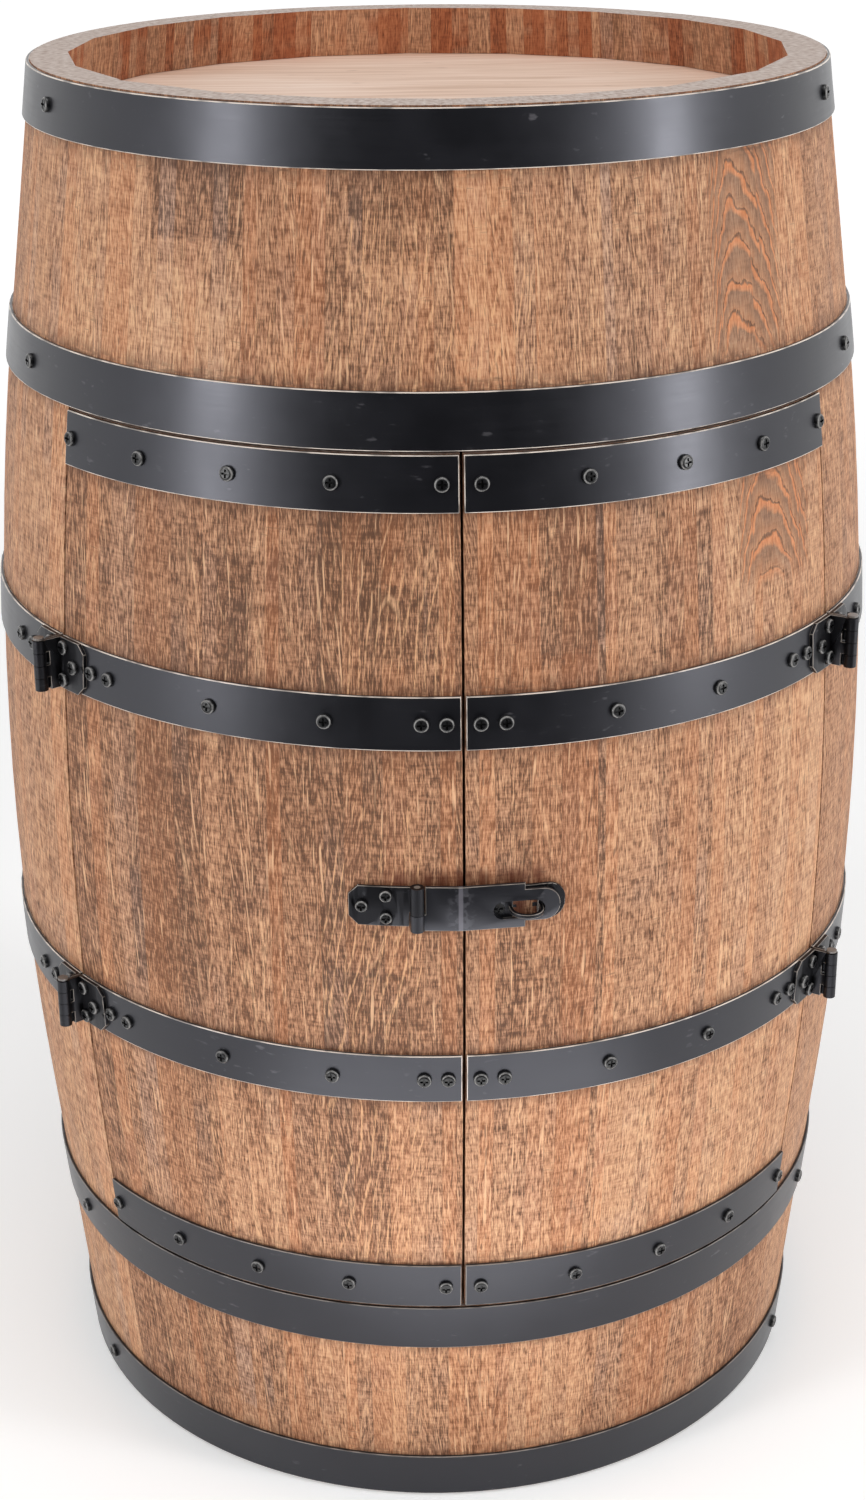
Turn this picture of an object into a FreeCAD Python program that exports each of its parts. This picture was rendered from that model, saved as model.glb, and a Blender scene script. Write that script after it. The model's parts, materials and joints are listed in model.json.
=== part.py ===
import FreeCAD, Part
import math
import os
import re
import Sketcher

# Barrel bar cabinet, in millimetres. +Z is up, the barrel's axis is Z and the staves stand on
# z = 0. The doors face -Y. A "turn" is an angle about Z from the middle of the doors, positive
# towards +X, which is to the right for someone who faces the doors. Pieces are modelled with
# X pointing out of the barrel and Y along its girth, and their Placement turns them into place.

SIZES = {
    # Barrel wall, seen along a stave: a bend each side of the bulge, then a straight to each end.
    # A bend's reach is how far from the bulge the lines that touch it meet.
    "barrel_height": 800,
    "bulge_radius": 255,
    "bulge_level": 390,
    "top_radius": 217,
    "foot_radius": 226,
    "head_bend_reach": 133.3,
    "foot_bend_reach": 95.9,
    "stave_thickness": 22,
    "stave_core_radius": 120,
    "carcass_staves": 14,
    # Door opening and the joints between a door's three staves.
    "door_half_angle": 55.5,
    "first_joint_angle": 17,
    "second_joint_angle": 32,
    "sill_height": 141.3,
    "lintel_height": 161.3,
    "door_end_gap": 1.5,
    "door_side_gap": 1.6,
    "door_middle_gap": 1.5,
    # Flat iron hoops and the door strips.
    "hoop_width": 28.6,
    "hoop_thickness": 2,
    "rim_margin": 0.8,
    "foot_margin": 1,
    "upper_bilge_level": 486.7,
    "lower_bilge_level": 282.5,
    "strip_margin": 0.1,
    "strip_setback": 0.5,
    # Heads, shelf and the blocks under the shelf.
    "head_thickness": 16,
    "head_recess": 28,
    "foot_recess": 40,
    "head_bite": 12,
    "croze_play": 0.2,
    "shelf_thickness": 16,
    "shelf_gap": 3,
    "cleat_height": 24,
    "cleat_depth": 22,
    "cleat_length": 50,
    "cleat_fit": 0.05,
    "side_cleat_stave": 1,
    "back_cleat_stave": 4,
    # Hinges: two bent leaves on a pin that stands proud of the bulge.
    "hinge_stand_off": 12,
    "leaf_thickness": 2.2,
    "leaf_length": 24,
    "leaf_corner": 5,
    "leaf_gap": 0.3,
    "knuckle_radius": 3.5,
    "knuckle_gap": 0.3,
    "knuckle_count": 4,
    "notch_clearance": 1.2,
    "pin_radius": 1.75,
    "pin_play": 0.05,
    "pin_head_radius": 2.9,
    "pin_head_height": 1.2,
    # Hasp: a plate on the left door, a cranked strap, and a staple on the right door.
    "hasp_turn": -5.45,
    "hasp_level": 400.5,
    "plate_thickness": 2,
    "plate_length": 36,
    "plate_height": 22.5,
    "plate_corner": 5,
    "hasp_knuckle_radius": 3.7,
    "hasp_knuckle_lift": 0.5,
    "hasp_split": 3,
    "hasp_pin_radius": 1.75,
    "strap_height": 25,
    "strap_thickness": 2.2,
    "strap_clearance": 0.3,
    "strap_bend_angle": 5.05,
    "strap_length": 51.8,
    "strap_shoulder": 33,
    "strap_tab_height": 18,
    "strap_round": 8.6,
    "slot_start": 16.6,
    "slot_end": 43.4,
    "slot_height": 10,
    "slot_drop": 2.3,
    "staple_turn": 7.1,
    "staple_base_left": 23.6,
    "staple_base_right": 21.4,
    "staple_base_height": 20,
    "staple_base_round": 9,
    "eye_reach": 14.5,
    "eye_radius": 8.8,
    "eye_wall": 1.8,
    "eye_plate": 2.2,
    "window_drop": 6.2,
    "window_rise": 5,
    "window_ledge": 0.4,
    # Screws.
    "screw_head_radius": 4,
    "screw_head_height": 2.6,
    "screw_head_round": 1.7,
    "screw_shank_radius": 1.75,
    "screw_length": 18,
    "screw_tip": 4,
    "screw_play": 0.25,
    "cross_length": 4.4,
    "cross_width": 1.1,
    "cross_depth": 1.3,
    "flat_cross_depth": 0.8,
    "flat_head_radius": 3.2,
    "flat_head_height": 1.6,
    "hoop_screw_turn": 66,
    "hoop_screws": 5,
    "strip_screws": 5,
    "strip_screw_near": 9,
    "strip_screw_far": 5.5,
    "meeting_screw_near": 7.4,
    "meeting_screw_far": 20.3,
    "bilge_screw_near": 4.5,
    "bilge_screw_far": 18.5,
    "leaf_screw_near": 6.6,
    "leaf_screw_far": 15.5,
    "leaf_screw_rise": 9,
    "frame_screw_near": 9,
    "frame_screw_far": 27,
    "plate_screw_head_radius": 3.4,
    "plate_screw_near": 16.2,
    "plate_screw_far": 28.8,
    "plate_screw_rise": 6.3,
    "staple_screw_left": 14,
    "staple_screw_right": 14.5,
    # Turns of the screws between the ends of the bilge strips, which differ from door to door.
    "left_bilge_near_turn": 16,
    "left_bilge_far_turn": 30.4,
    "right_bilge_near_turn": 18.2,
    "right_bilge_far_turn": 32.6,
    # How far the cutting tools reach.
    "tool_reach": 400,
}

doc = FreeCAD.newDocument("barrel_cabinet")
sheet = doc.addObject("Spreadsheet::Sheet", "Sizes")
for row, (alias, number) in enumerate(SIZES.items(), start=1):
    sheet.set(f"A{row}", alias)
    sheet.set(f"B{row}", str(number))
    sheet.setAlias(f"B{row}", alias)
doc.recompute()

ALIAS = re.compile(r"\b(" + "|".join(SIZES) + r")\b")
UP = FreeCAD.Vector(0, 0, 1)
# Two places nearer than this are one place.
TOUCH = 0.01
nodes = []


# ---- formulas -------------------------------------------------------------------------------

def expression(formula):
    """A formula in the sheet's aliases, as an expression of the document."""
    return ALIAS.sub(r"Sizes.\1", formula)


def size(formula):
    """The number that a formula in the sheet's aliases gives."""
    result = sheet.evalExpression(expression(formula))
    return float(getattr(result, "Value", result))


def bind(thing, place, formula):
    thing.setExpression(place, expression(formula))


def girth_turn(length):
    """The turn, in degrees, that a length along the bulge's girth takes up."""
    return f"(({length}) / bulge_radius * 180 / pi)"


DOOR_EDGE = f"(door_half_angle - {girth_turn('door_side_gap')})"
HINGE_TURN = f"(door_half_angle - {girth_turn('door_side_gap / 2')})"
MEETING_EDGE = girth_turn("door_middle_gap / 2")
STRIP_START = girth_turn("door_middle_gap / 2 + strip_setback")
STRIP_END = f"(door_half_angle - {girth_turn('door_side_gap + strip_setback')})"
FRAME_START = f"(door_half_angle + {girth_turn('strip_setback')})"
STAVE_TURN = "((360 - 2 * door_half_angle) / carcass_staves)"
HINGE_RADIUS = "(bulge_radius + hinge_stand_off)"
HASP_RADIUS = "(bulge_radius + hasp_knuckle_lift + hasp_knuckle_radius)"

LINTEL_LEVEL = "(barrel_height - lintel_height)"
SILL_LEVEL = "sill_height"
DOOR_HEAD = f"({LINTEL_LEVEL} - door_end_gap)"
DOOR_FOOT = f"({SILL_LEVEL} + door_end_gap)"
TOP_HOOP_LEVEL = "(barrel_height - rim_margin - hoop_width)"
UPPER_QUARTER_LEVEL = f"({LINTEL_LEVEL} + strip_margin)"
LOWER_QUARTER_LEVEL = f"({SILL_LEVEL} - strip_margin - hoop_width)"
TOP_HEAD_LEVEL = "(barrel_height - head_recess - head_thickness)"
TOP_HEAD_RADIUS = "(top_radius - stave_thickness + head_bite)"
FOOT_HEAD_LEVEL = "foot_recess"
FOOT_HEAD_RADIUS = "(foot_radius - stave_thickness + head_bite)"
SHELF_LEVEL = "(bulge_level + cleat_height / 2)"
WALL_FLAT = "(bulge_radius - stave_thickness)"

DOOR_STAVES = (("inner", MEETING_EDGE, "first_joint_angle"),
               ("middle", "first_joint_angle", "second_joint_angle"),
               ("outer", "second_joint_angle", DOOR_EDGE))
FRONT_STAVES = (("0", "first_joint_angle"), ("first_joint_angle", "second_joint_angle"),
                ("second_joint_angle", "door_half_angle"))
BILGE_LEVELS = (("upper", "upper_bilge_level"), ("lower", "lower_bilge_level"))


# ---- barrel wall ----------------------------------------------------------------------------

# Each half of the wall: the lean of its straight, the radius of its bend, the radius and level
# of its end, and which way it runs from the bulge.
HEAD_LEAN = "atan((bulge_radius - top_radius) / (barrel_height - bulge_level - head_bend_reach))"
FOOT_LEAN = "atan((bulge_radius - foot_radius) / (bulge_level - foot_bend_reach))"
HEAD_HALF = (HEAD_LEAN, f"head_bend_reach / tan({HEAD_LEAN} / 2)", "top_radius", "barrel_height", 1)
FOOT_HALF = (FOOT_LEAN, f"foot_bend_reach / tan({FOOT_LEAN} / 2)", "foot_radius", "0", -1)


def wall_point(level):
    """Radius of the wood's outside at a level, and the lift of its outward normal."""
    rise = level - size("bulge_level")
    lean, bend, end_radius, end_level, side = HEAD_HALF if rise > 0 else FOOT_HALF
    lift = side * math.radians(size(lean))
    if abs(rise) > abs(size(bend) * math.sin(lift)):
        run = abs(size(end_level) - level)
        return size(end_radius) + run * math.tan(abs(lift)), lift
    lift = math.asin(rise / size(bend))
    return size("bulge_radius") - size(bend) * (1 - math.cos(lift)), lift


def seat(turn, level, offset):
    """Placement on the barrel's outside whose own Z points straight out of the wall."""
    radius, lift = wall_point(level)
    heading = FreeCAD.Rotation(UP, turn - 90)
    tilt = FreeCAD.Rotation(FreeCAD.Vector(0, 1, 0), 90 - math.degrees(lift))
    out = FreeCAD.Vector(math.cos(lift), 0, math.sin(lift)) * offset
    spot = heading.multVec(FreeCAD.Vector(radius, 0, level) + out)
    return FreeCAD.Placement(spot, heading.multiply(tilt))


# ---- sketches -------------------------------------------------------------------------------

def hold(sketch, line, vertex, across, up):
    """Pin one end of a sketch line to a place given by two formulas."""
    for kind, formula in (("DistanceX", across), ("DistanceY", up)):
        rule = Sketcher.Constraint(kind, -1, 1, line, vertex, size(formula))
        bind(sketch, f"Constraints[{sketch.addConstraint(rule)}]", formula)


def hold_radius(sketch, ring, formula):
    rule = sketch.addConstraint(Sketcher.Constraint("Radius", ring, size(formula)))
    bind(sketch, f"Constraints[{rule}]", formula)


def join(sketch, first, second, first_end=2, second_end=1):
    sketch.addConstraint(Sketcher.Constraint("Coincident", first, first_end, second, second_end))


def polygon(sketch, corners):
    """A closed outline through corners given as pairs of formulas."""
    spots = [FreeCAD.Vector(size(across), size(up), 0) for across, up in corners]
    ends = spots[1:] + spots[:1]
    lines = [sketch.addGeometry(Part.LineSegment(a, b)) for a, b in zip(spots, ends)]
    for number, (across, up) in enumerate(corners):
        join(sketch, lines[number - 1], lines[number])
        hold(sketch, lines[number], 1, across, up)


def circle(sketch, across, up, radius):
    spot = FreeCAD.Vector(size(across), size(up), 0)
    ring = sketch.addGeometry(Part.Circle(spot, UP, size(radius)))
    hold(sketch, ring, 3, across, up)
    hold_radius(sketch, ring, radius)


def slot(sketch, start, end, up, radius):
    """A slot with round ends between two places along X."""
    height = size(up)
    half = size(radius)
    left = FreeCAD.Vector(size(f"{start} + {radius}"), height, 0)
    right = FreeCAD.Vector(size(f"{end} - {radius}"), height, 0)
    lift = FreeCAD.Vector(0, half, 0)
    quarter = math.pi / 2
    right_arc = sketch.addGeometry(Part.ArcOfCircle(Part.Circle(right, UP, half), -quarter, quarter))
    top = sketch.addGeometry(Part.LineSegment(right + lift, left + lift))
    left_arc = sketch.addGeometry(Part.ArcOfCircle(Part.Circle(left, UP, half), quarter, 3 * quarter))
    bottom = sketch.addGeometry(Part.LineSegment(left - lift, right - lift))
    ring = (right_arc, top, left_arc, bottom)
    for first, second in zip(ring, ring[1:] + ring[:1]):
        sketch.addConstraint(Sketcher.Constraint("Tangent", first, 2, second, 1))
    hold(sketch, right_arc, 3, f"{end} - {radius}", up)
    hold(sketch, left_arc, 3, f"{start} + {radius}", up)
    hold_radius(sketch, right_arc, radius)


def half_wall(sketch, offset, half):
    """One half of the wall line, offset outwards: its bend and its straight to the end."""
    lean, bend, end_radius, end_level, side = half
    reach = size(f"{bend} + {offset}")
    centre = FreeCAD.Vector(size(f"bulge_radius - {bend}"), size("bulge_level"), 0)
    turn = math.radians(size(lean))
    touch = centre + FreeCAD.Vector(math.cos(turn), side * math.sin(turn), 0) * reach
    end = f"{end_radius} + ({offset}) / cos({lean})"
    span = (0, turn) if side > 0 else (-turn, 0)
    arc = sketch.addGeometry(Part.ArcOfCircle(Part.Circle(centre, UP, reach), *span))
    straight = sketch.addGeometry(Part.LineSegment(touch, FreeCAD.Vector(size(end), size(end_level), 0)))
    hold(sketch, arc, 3, f"bulge_radius - {bend}", "bulge_level")
    hold_radius(sketch, arc, f"{bend} + {offset}")
    bulge_end, straight_end = (1, 2) if side > 0 else (2, 1)
    rule = Sketcher.Constraint("DistanceY", -1, 1, arc, bulge_end, size("bulge_level"))
    bind(sketch, f"Constraints[{sketch.addConstraint(rule)}]", "bulge_level")
    sketch.addConstraint(Sketcher.Constraint("Tangent", straight, 1, arc, straight_end))
    hold(sketch, straight, 2, end, end_level)
    return straight


def wall_line(sketch, offset):
    """The stave's long section, offset outwards. Gives its two straights."""
    return half_wall(sketch, offset, FOOT_HALF), half_wall(sketch, offset, HEAD_HALF)


def wall_section(sketch, offset, core):
    """Closed section between the wall line and an upright line at the core radius."""
    foot_line, head_line = wall_line(sketch, offset)
    top_end = f"top_radius + ({offset}) / cos({HEAD_LEAN})"
    foot_end = f"foot_radius + ({offset}) / cos({FOOT_LEAN})"
    corners = [FreeCAD.Vector(size(top_end), size("barrel_height"), 0),
               FreeCAD.Vector(size(core), size("barrel_height"), 0),
               FreeCAD.Vector(size(core), 0, 0),
               FreeCAD.Vector(size(foot_end), 0, 0)]
    top, core_line, foot = (sketch.addGeometry(Part.LineSegment(a, b))
                            for a, b in zip(corners, corners[1:]))
    join(sketch, head_line, top)
    join(sketch, top, core_line)
    join(sketch, core_line, foot)
    join(sketch, foot, foot_line, 2, 2)
    hold(sketch, core_line, 1, core, "barrel_height")
    hold(sketch, core_line, 2, core, "0")


# ---- PartDesign features --------------------------------------------------------------------

def body(label):
    made = doc.addObject("PartDesign::Body", label)
    made.Label = label
    return made


def sketch_on(owner, name, role, level=None):
    """A sketch on one of the body's origin planes, raised by a formula if one is given."""
    made = owner.newObject("Sketcher::SketchObject", name)
    plane = [item for item in owner.Origin.OriginFeatures if item.Role == role][0]
    made.AttachmentSupport = [(plane, "")]
    made.MapMode = "FlatFace"
    if level is not None:
        bind(made, "AttachmentOffset.Base.z", level)
    return made


def pad(owner, profile, length):
    made = owner.newObject("PartDesign::Pad", profile.Name + "_pad")
    made.Profile = profile
    bind(made, "Length", length)
    return made


def pocket(owner, profile, length=None, reverse=False):
    """A pocket of a given depth, or right through both ways where there is no length."""
    made = owner.newObject("PartDesign::Pocket", profile.Name + "_pocket")
    made.Profile = profile
    made.Reversed = reverse
    if length is None:
        made.SideType = "Symmetric"
        made.Type = "Length"
        bind(made, "Length", "2 * tool_reach")
    else:
        bind(made, "Length", length)
    return made


def revolve(owner, kind, profile, angle):
    made = owner.newObject(kind, profile.Name + "_turned")
    made.Profile = profile
    made.ReferenceAxis = (profile, ["V_Axis"])
    made.Midplane = True
    bind(made, "Angle", angle)
    return made


def round_edges(owner, feature, name, wanted, radius):
    """Fillet of the edges of a feature that the test picks."""
    doc.recompute()
    picked = [f"Edge{number}" for number, edge in enumerate(feature.Shape.Edges, start=1)
              if wanted(edge)]
    made = owner.newObject("PartDesign::Fillet", name)
    made.Base = (feature, picked)
    bind(made, "Radius", radius)
    return made


def turn_to(thing, turn):
    """Turn a finished piece about the barrel's axis into its place."""
    thing.Placement = FreeCAD.Placement(FreeCAD.Vector(), UP, size(turn) - 90)
    bind(thing, "Placement.Rotation.Angle", f"{turn} - 90")
    return thing


def keep(thing, label):
    thing.Label = label
    nodes.append(thing)
    return thing


# ---- Part features --------------------------------------------------------------------------

def combine(kind, name, *shapes):
    made = doc.addObject(kind, name)
    if kind in ("Part::Cut", "Part::Common"):
        made.Base, made.Tool = shapes
    elif kind == "Part::Compound":
        made.Links = list(shapes)
    else:
        made.Shapes = list(shapes)
    return made


def box(name, x, y, z, length, width, height):
    made = doc.addObject("Part::Box", name)
    for place, formula in (("Length", length), ("Width", width), ("Height", height),
                           ("Placement.Base.x", x), ("Placement.Base.y", y),
                           ("Placement.Base.z", z)):
        bind(made, place, formula)
    return made


def cylinder(name, radius, height, x="0", y="0", z="0", sweep="360"):
    made = doc.addObject("Part::Cylinder", name)
    for place, formula in (("Radius", radius), ("Height", height), ("Angle", sweep),
                           ("Placement.Base.x", x), ("Placement.Base.y", y),
                           ("Placement.Base.z", z)):
        bind(made, place, formula)
    return made


def through_bore(name, radius, x, level):
    """An upright cutting pin that runs far past a level both ways."""
    return cylinder(name, radius, "2 * tool_reach", x, "0", f"{level} - tool_reach")


def upright_sketch(name):
    """A free sketch in the plane of X and Z."""
    made = doc.addObject("Sketcher::SketchObject", name)
    made.Placement = FreeCAD.Placement(FreeCAD.Vector(), FreeCAD.Vector(1, 0, 0), 90)
    return made


def turned(name, profile):
    made = doc.addObject("Part::Revolution", name)
    made.Source = profile
    made.Axis = UP
    made.Angle = 360
    made.Solid = True
    return made


def shell(name, inner, outer):
    """The full barrel-shaped shell between two offsets of the wall."""
    profile = upright_sketch(name + "_section")
    inner_lines = wall_line(profile, inner)
    outer_lines = wall_line(profile, outer)
    for half, inner_line, outer_line in zip((FOOT_HALF, HEAD_HALF), inner_lines, outer_lines):
        lean, _, end_radius, end_level, _ = half
        spots = [FreeCAD.Vector(size(f"{end_radius} + ({offset}) / cos({lean})"), size(end_level), 0)
                 for offset in (inner, outer)]
        closing = profile.addGeometry(Part.LineSegment(*spots))
        join(profile, inner_line, closing)
        join(profile, closing, outer_line, 2, 2)
    return turned(name, profile)


def core(name, outer):
    """Everything inside one offset of the wall, solid to the barrel's axis."""
    profile = upright_sketch(name + "_section")
    wall_section(profile, outer, "0")
    return turned(name, profile)


def prism(name, corners):
    """An outline in the plane of Y and Z, drawn out along X past the wall."""
    profile = doc.addObject("Sketcher::SketchObject", name + "_outline")
    facing = FreeCAD.Rotation(FreeCAD.Vector(0, 1, 0), UP, FreeCAD.Vector(1, 0, 0), "ZXY")
    profile.Placement = FreeCAD.Placement(FreeCAD.Vector(), facing)
    polygon(profile, corners)
    made = doc.addObject("Part::Extrusion", name)
    made.Base = profile
    made.DirMode = "Custom"
    made.Dir = FreeCAD.Vector(1, 0, 0)
    made.Solid = True
    bind(made, "LengthFwd", "tool_reach")
    return made


def group(label, solids):
    """Separate solids of one kind that share a node."""
    made = doc.addObject("Part::Feature", label)
    made.Shape = Part.makeCompound(solids)
    return keep(made, label)


def placed(shape, seats):
    """Copies of a shape at its seats."""
    made = []
    for place in seats:
        copy = shape.copy()
        copy.Placement = place
        made.append(copy)
    return made


# ---- staves ---------------------------------------------------------------------------------

def stave(label, start, end, low=None, high=None, top_croze=False, foot_croze=False):
    """One stave between two turns: turned outside, flat inside, with its crozes."""
    made = body(label)
    section = sketch_on(made, "section", "XZ_Plane")
    wall_section(section, "0", "stave_core_radius")
    revolve(made, "PartDesign::Revolution", section, f"{end} - {start}")
    inside = sketch_on(made, "inside", "XZ_Plane")
    wall_section(inside, "-stave_thickness", "0")
    pocket(made, inside)
    for name, level, side in (("foot_trim", low, -1), ("head_trim", high, 1)):
        if level is not None:
            trim = sketch_on(made, name, "XZ_Plane")
            limit = f"{level} + {side} * barrel_height"
            polygon(trim, [("0", level), ("tool_reach", level), ("tool_reach", limit), ("0", limit)])
            pocket(made, trim)
    if top_croze:
        croze(made, "top_croze", TOP_HEAD_LEVEL, TOP_HEAD_RADIUS)
    if foot_croze:
        croze(made, "foot_croze", FOOT_HEAD_LEVEL, FOOT_HEAD_RADIUS)
    return turn_to(made, f"({start} + {end}) / 2")


def croze(made, name, level, radius):
    """The groove that a head sits in."""
    groove = sketch_on(made, name, "XZ_Plane")
    bottom = f"{radius} + croze_play"
    roof = f"{level} + head_thickness + croze_play"
    polygon(groove, [("stave_core_radius", level), (bottom, level), (bottom, roof),
                     ("stave_core_radius", roof)])
    revolve(made, "PartDesign::Groove", groove, "360")


def carcass_staves():
    for number in range(round(size("carcass_staves"))):
        label = f"carcass_stave_{number + 1:02d}"
        start = f"(door_half_angle + {number} * {STAVE_TURN})"
        end = f"(door_half_angle + {number + 1} * {STAVE_TURN})"
        keep(stave(label, start, end, top_croze=True, foot_croze=True), label)


def front_staves():
    """Short staves over and under the doors, six of each."""
    over = []
    under = []
    for start, end in FRONT_STAVES:
        for side, first, last in (("left", f"-{end}", f"-{start}"), ("right", start, end)):
            name = f"{side}_{len(over)}"
            over.append(stave("over_" + name, first, last, low=LINTEL_LEVEL, top_croze=True))
            under.append(stave("under_" + name, first, last, high=SILL_LEVEL, foot_croze=True))
    keep(combine("Part::Compound", "lintel_staves", *over), "lintel_staves")
    keep(combine("Part::Compound", "sill_staves", *under), "sill_staves")


def door_staves(side):
    for name, start, end in DOOR_STAVES:
        first, last = (start, end) if side == "right" else (f"-{end}", f"-{start}")
        label = f"{side}_door_{name}_stave"
        keep(stave(label, first, last, low=DOOR_FOOT, high=DOOR_HEAD), label)


# ---- heads, shelf and cleats ----------------------------------------------------------------

def disc(label, radius, level, thickness):
    made = body(label)
    outline = sketch_on(made, "outline", "XY_Plane", level)
    circle(outline, "0", "0", radius)
    pad(made, outline, thickness)
    return keep(made, label)


def shelf_cleats():
    """Blocks on the flat insides of four carcass staves, two each side, level with the bulge."""
    last = round(size("carcass_staves")) - 1
    right_side = [round(size("side_cleat_stave")), round(size("back_cleat_stave"))]
    blocks = []
    for number in right_side + [last - stave_number for stave_number in right_side]:
        block = box(f"cleat_{number}", f"{WALL_FLAT} - cleat_fit - cleat_depth", "-cleat_length / 2",
                    "bulge_level - cleat_height / 2", "cleat_depth", "cleat_length", "cleat_height")
        holder = combine("Part::Compound", f"cleat_seat_{number}", block)
        blocks.append(turn_to(holder, f"(door_half_angle + {number + 0.5} * {STAVE_TURN})"))
    keep(combine("Part::Compound", "shelf_cleats", *blocks), "shelf_cleats")


# ---- hoops and door strips ------------------------------------------------------------------

def band(name, low, start="0", sweep="360"):
    """A stretch of hoop from a level up, over one sweep about the barrel's axis."""
    slab = cylinder(name + "_slab", "tool_reach", "hoop_width", z=low, sweep=sweep)
    return turn_to(combine("Part::Common", name + "_band", hoop_shell, slab), start)


def drill(label, blank, seats):
    """Clear holes through a piece of iron at the seats of its screws."""
    depth = size("screw_length")
    bit = Part.makeCylinder(size("screw_shank_radius + screw_play"), 2 * depth,
                            FreeCAD.Vector(0, 0, -depth))
    tools = doc.addObject("Part::Feature", label + "_holes")
    tools.Shape = Part.makeCompound(placed(bit, seats))
    return keep(combine("Part::Cut", label, blank, tools), label)


def strip_seats(level, turns):
    """Seats of the screws along the middle of a hoop or strip."""
    middle = size(f"{level} + hoop_width / 2")
    return [seat(turn, middle, size("hoop_thickness")) for turn in turns]


def ring_turns():
    """Screws spread evenly round the back, between one each side of the doors."""
    first = size("hoop_screw_turn")
    count = round(size("hoop_screws"))
    step = (360 - 2 * first) / (count - 1)
    return [first + number * step for number in range(count)]


def frame_turns():
    """Two screws beside each hinge, and the rest spread round the back."""
    leaf_end = size(f"{HINGE_TURN} + {girth_turn('leaf_length')}")
    near = leaf_end + size(girth_turn("frame_screw_near"))
    far = leaf_end + size(girth_turn("frame_screw_far"))
    back = ring_turns()[1:-1]
    return [near, far] + back + [360 - far, 360 - near]


def strip_turns():
    """Evenly spaced screws of a door's end strips, for the right door."""
    first = size(f"{STRIP_START} + {girth_turn('strip_screw_near')}")
    last = size(f"{STRIP_END} - {girth_turn('strip_screw_far')}")
    count = round(size("strip_screws"))
    return [first + number * (last - first) / (count - 1) for number in range(count)]


def bilge_turns(side):
    """Two screws at each end of a door's bilge strip and two between, as if on the right door."""
    leaf_end = f"{HINGE_TURN} - {girth_turn('leaf_length')}"
    return [size(f"{STRIP_START} + {girth_turn('meeting_screw_near')}"),
            size(f"{STRIP_START} + {girth_turn('meeting_screw_far')}"),
            size(f"{side}_bilge_near_turn"),
            size(f"{side}_bilge_far_turn"),
            size(f"{leaf_end} - {girth_turn('bilge_screw_far')}"),
            size(f"{leaf_end} - {girth_turn('bilge_screw_near')}")]


def carcass_hoops():
    """The four whole hoops and the two that the doors interrupt. Gives their screws' seats."""
    seats = []
    for label, level in (("top_hoop", TOP_HOOP_LEVEL), ("upper_quarter_hoop", UPPER_QUARTER_LEVEL),
                         ("lower_quarter_hoop", LOWER_QUARTER_LEVEL), ("foot_hoop", "foot_margin")):
        own = strip_seats(level, ring_turns())
        drill(label, band(label, level), own)
        seats += own
    sweep = f"360 - 2 * {FRAME_START}"
    for name, level in BILGE_LEVELS:
        label = f"{name}_bilge_hoop"
        own = strip_seats(level, frame_turns())
        drill(label, band(label, level, FRAME_START, sweep), own)
        seats += own
    return seats


def door_strips(side):
    """A door's four strips: one at each end, and its share of the two bilge hoops."""
    sign = 1 if side == "right" else -1
    start = STRIP_START if side == "right" else f"-{STRIP_END}"
    sweep = f"{STRIP_END} - {STRIP_START}"
    strips = [("head", f"({DOOR_HEAD} - strip_margin - hoop_width)", strip_turns()),
              ("foot", f"({DOOR_FOOT} + strip_margin)", strip_turns())]
    strips += [(name, level, bilge_turns(side)) for name, level in BILGE_LEVELS]
    seats = []
    for name, level, turns in strips:
        label = f"{side}_door_{name}_strip"
        own = strip_seats(level, [sign * turn for turn in turns])
        drill(label, band(label, level, start, sweep), own)
        seats += own
    return seats


# ---- hinges ---------------------------------------------------------------------------------

KNUCKLE_STEP = "(hoop_width / knuckle_count)"


def leaf_flange(label, level, side):
    """The flat of a leaf, on top of the hoop, with its two free corners cut off."""
    high = f"({level} + hoop_width)"
    near = f"({side} * leaf_gap / 2)"
    far = f"({side} * leaf_length)"
    cut = f"({side} * (leaf_length - leaf_corner))"
    outline = prism(label + "_flange", [(near, level), (cut, level), (far, f"{level} + leaf_corner"),
                                        (far, f"{high} - leaf_corner"), (cut, high), (near, high)])
    return combine("Part::Common", label + "_on_hoop", leaf_shell, outline)


def leaf_web(label, level, side, others):
    """The wall that carries the knuckles, notched where the other leaf's knuckles turn."""
    edge = "leaf_gap / 2" if side > 0 else "-leaf_gap / 2 - leaf_thickness"
    wall = box(label + "_wall", WALL_FLAT, edge, level, "stave_thickness + hinge_stand_off",
               "leaf_thickness", "hoop_width")
    half = "(knuckle_radius + leaf_thickness)"
    notches = [box(f"{label}_notch_{number}", f"{HINGE_RADIUS} - knuckle_radius - notch_clearance",
                   f"-{half}", f"{level} + {number} * {KNUCKLE_STEP} - knuckle_gap / 2",
                   "2 * knuckle_radius + notch_clearance", f"2 * {half}",
                   f"{KNUCKLE_STEP} + knuckle_gap") for number in others]
    return combine("Part::Cut", label + "_web", wall,
                   combine("Part::MultiFuse", label + "_notches", *notches))


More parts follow.
